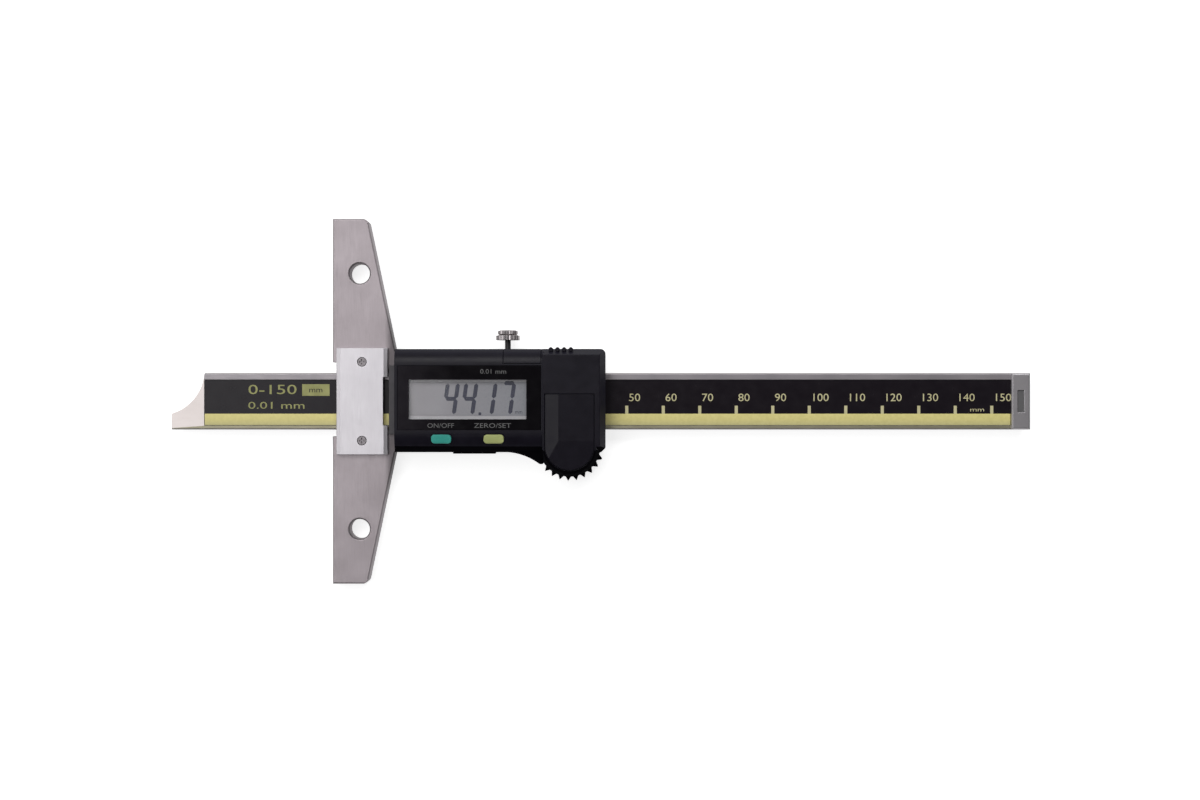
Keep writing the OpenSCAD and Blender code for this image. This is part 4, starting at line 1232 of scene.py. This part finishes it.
# %% The end stop
RECESS_HALF_X = 1.0 * MM
RECESS_HALF_Y = 3.1 * MM
RECESS_EDGE_H = 0.05 * MM
stop_low, stop_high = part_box("end_stop")
stop_x = (stop_low.x + stop_high.x) / 2


def in_stop_shade(middle, normal):
    """True in the end stop's recess and on its outer end."""
    in_recess = abs(middle.x - stop_x) < RECESS_HALF_X and abs(middle.y) < RECESS_HALF_Y
    return (in_recess and middle.z < stop_high.z - RECESS_EDGE_H) or normal.x > FACING


paint(steel["stop_cap"], stop_finish, stop_shade_finish)
# Painted shade in the recess and on the outer end, which faces away from the light.
paint_faces(steel["stop_cap"], in_stop_shade, index=1)

# %% The housing's lip and the rim of its thumb rest
LIP_END = 17.55 * MM
LIP_H = 7.8 * MM
RIM_FROM_Y = -13.2 * MM
STEEP_FROM_Y = -12.3 * MM
RIM_OUT = 0.3 * MM
RIM_BESIDE = 4 * MM
STEEP = 0.25
housing = plastic["moulded_housing"]
lip_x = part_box("base")[0].x + LIP_END
lid_low, lid_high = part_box("battery_cover")
lid_r = (lid_high.x - lid_low.x) / 2
lid_centre = Vector((lid_low.x + lid_r, lid_low.y + lid_r))


def on_rim(middle, normal):
    """True on the round rim of the thumb rest and on the low and steep faces below the display."""
    beside = middle.x > lid_low.x - RIM_BESIDE
    outside = (middle.xy - lid_centre).length > lid_r + RIM_OUT
    below_lid = middle.z < lid_low.z and normal.z > -FACING
    steep = normal.y < -STEEP or below_lid
    return (beside and outside and middle.y < RIM_FROM_Y) or (steep and middle.y < STEEP_FROM_Y)


paint(housing, housing_finish, lip_finish, shaded_rim_finish)
paint_faces(housing, lambda middle, normal: middle.x < lip_x and middle.z < LIP_H, index=1)
# Painted shade on the rim round the thumb rest and on the steep low faces below the display.
paint_faces(housing, on_rim, index=2)

# %% The lines above the band
paint(scale_lines, band_finish, number_finish)
paint_faces(scale_lines, lambda middle, normal: middle.y > BAND_TOP, index=1)

# %% [markdown]
# ## Solids that keep their mesh
#
# The pieces inside the gauge, its window and its thin printed cover are hardly seen at their edges.
# They could be rounded too, but their solids are right, so only the finish in their slots is swapped.

# %% Finishes of the solids that stay
def paint_solid(node, finish):
    """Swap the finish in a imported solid's own slots, with its mesh as it was."""
    for material_slot in solids[node].material_slots:
        material_slot.material = finish


for finish, nodes in (
    (brass_finish, ("gib", "clamp_shoe")),
    (screw_finish, ("gib_screws",)),
    (scale_finish, ("scale_cover",)),
    (window_finish, ("display_window",)),
    (lcd_finish, ("lcd_panel",)),
    (white_finish, ("lcd_holder",)),
    (rubber_finish, ("lcd_connectors",)),
    (board_finish, ("circuit_board", "scale_strip")),
    (chip_finish, ("processor_chip", "tact_switches", "data_connector")),
    (contact_finish, ("board_components", "connector_pins")),
    (contact_finish, ("battery_contact_plus", "battery_contact_minus")),
):
    for node in nodes:
        paint_solid(node, finish)
print("solids that stay are finished")

# %% [markdown]
# ## The camera
#
# The photograph looks straight down on the gauge from about arm's length. The camera hangs over the
# middle of the picture, and its lens is worked out from how many pixels a millimetre takes.

# %% Camera over the gauge
PICTURE_W = 1200
PIXELS_PER_MM = 3.65
PICTURE_MID_X = 73.2 * MM
PICTURE_MID_Y = 0.36 * MM
CAMERA_H = 600 * MM
SCALE_Z = 6.1 * MM
SENSOR = 36.0
NEAREST = 0.01
FARTHEST = 20
camera_data = bpy.data.cameras.new("camera")
camera = bpy.data.objects.new("camera", camera_data)
bpy.context.scene.collection.objects.link(camera)
camera.location = (PICTURE_MID_X, PICTURE_MID_Y, CAMERA_H)
camera_data.sensor_width = SENSOR
camera_data.lens = SENSOR * (CAMERA_H - SCALE_Z) / (PICTURE_W / PIXELS_PER_MM * MM)
camera_data.clip_start = NEAREST
camera_data.clip_end = FARTHEST
bpy.context.scene.camera = camera
print("lens", round(camera_data.lens, 2), "mm")

# %% [markdown]
# ## The floor
#
# The gauge lies on a plain pale floor. The floor keeps the gauge's shadow, and a little light of its
# own, seen only by the camera and in mirrored light, lifts it to the white of the picture. Stronger
# lamps could whiten it too, but they would bleach the steel.

# %% Floor
FLOOR_SIZE = 6.0
FLOOR_BELOW = 0.02 * MM
WHITE = (1, 1, 1, 1)
pick_nothing()
bpy.ops.mesh.primitive_plane_add(size=FLOOR_SIZE, location=(PICTURE_MID_X, 0, -FLOOR_BELOW))
floor = bpy.context.object
floor.name = "floor"
floor_finish, tree, shader = new_finish(
    "floor", Roughness=0.9, Specular_IOR_Level=0.1, Emission_Color=WHITE
)
floor.data.materials.append(floor_finish)
print("floor", FLOOR_SIZE, "m wide")

# %% The floor's colour and its own light
FLOOR_CLOUDS_PER_MM = 0.02
FLOOR_DARK = (0.6, 0.6, 0.6)
FLOOR_PALE = (0.62, 0.62, 0.62)
FLOOR_MIRRORED = 0.4
GLOW_NEAR = 0.78
GLOW_FAR = 1.1
NEAR_END = 0.2
FAR_END = 1.2
paths = tree.nodes.new("ShaderNodeLightPath")
through = paths.outputs["Is Transmission Ray"]
seen = worked_out(tree, "MAXIMUM", paths.outputs["Is Camera Ray"], through)
distance = tree.nodes.new("ShaderNodeVectorMath")
distance.operation = "LENGTH"
tree.links.new(where(tree), distance.inputs[0])
away = distance.outputs["Value"]
glow = spread(tree, away, low=GLOW_NEAR, high=GLOW_FAR, from_low=NEAR_END, from_high=FAR_END)
shown = worked_out(tree, "MULTIPLY", seen, glow)
mirrored = worked_out(tree, "MULTIPLY", paths.outputs["Is Glossy Ray"], FLOOR_MIRRORED)
tree.links.new(worked_out(tree, "ADD", shown, mirrored), shader.inputs["Emission Strength"])
tone = two_tone(tree, noise(tree, FLOOR_CLOUDS_PER_MM), FLOOR_DARK, FLOOR_PALE)
tree.links.new(tone, shader.inputs["Base Color"])
print("the floor glows from", GLOW_NEAR, "to", GLOW_FAR)

# %% [markdown]
# ## The light
#
# The photograph is brighter from the left and from behind the gauge. So the world grows paler that
# way, with a low pale band all round that the upright faces mirror. Two large soft lamps hang over the
# back and over the left end, and give the housing's shoulder and the steel their gentle change of tone.

# %% The world
WORLD_PALE = 0.6
WORLD_DARK = 0.1
PALE_SIDE = (-0.7, 0.7, 0.0)
PALE_FROM = -0.3
PALE_TO = 0.8
HORIZON = 0.7
HORIZON_FULL = 0.08
HORIZON_END = 0.32
world = bpy.data.worlds.new("world")
bpy.context.scene.world = world
world.use_nodes = True
tree = world.node_tree
towards = tree.nodes.new("ShaderNodeVectorMath")
towards.operation = "DOT_PRODUCT"
towards.inputs[1].default_value = PALE_SIDE
tree.links.new(where(tree, "Generated"), towards.inputs[0])
sloped = spread(tree, towards.outputs["Value"], WORLD_DARK, WORLD_PALE, PALE_FROM, PALE_TO)
up = along_axis(tree, "Z", kind="Generated")
horizon = spread(tree, up, HORIZON, 0.0, from_low=HORIZON_FULL, from_high=HORIZON_END)
print("world", WORLD_DARK, "to", WORLD_PALE)

# %% White where the camera sees the world
background = tree.nodes["Background"]
background.inputs["Color"].default_value = WHITE
paths = tree.nodes.new("ShaderNodeLightPath")
strength = tree.nodes.new("ShaderNodeMapRange")
strength.inputs["To Max"].default_value = 1.0
tree.links.new(worked_out(tree, "MAXIMUM", sloped, horizon), strength.inputs["To Min"])
tree.links.new(paths.outputs["Is Camera Ray"], strength.inputs["Value"])
tree.links.new(strength.outputs["Result"], background.inputs["Strength"])
print("the camera sees a white world")


# %% Two soft lamps
def softbox(name, place, target, size, watts):
    """A rectangular soft lamp that looks at a target."""
    data = bpy.data.lights.new(name, "AREA")
    data.shape = "RECTANGLE"
    data.size, data.size_y = size
    data.energy = watts
    lamp = bpy.data.objects.new(name, data)
    bpy.context.scene.collection.objects.link(lamp)
    lamp.location = place
    back = Vector(place) - Vector(target)
    lamp.rotation_euler = back.to_track_quat("Z", "Y").to_euler()
    print(name, watts, "watts")


softbox("lamp_back", place=(0.1, 0.78, 1.05), target=(0.1, 0.78, 0), size=(1.4, 0.6), watts=10)
softbox("lamp_left", place=(-0.5, 0.15, 1.2), target=(-0.5, 0.15, 0), size=(0.8, 0.9), watts=5)

# %% [markdown]
# ## Picture settings
#
# Colours are shown as they are, with no film curve.

# %% Finish
bpy.context.scene.view_settings.view_transform = "Standard"
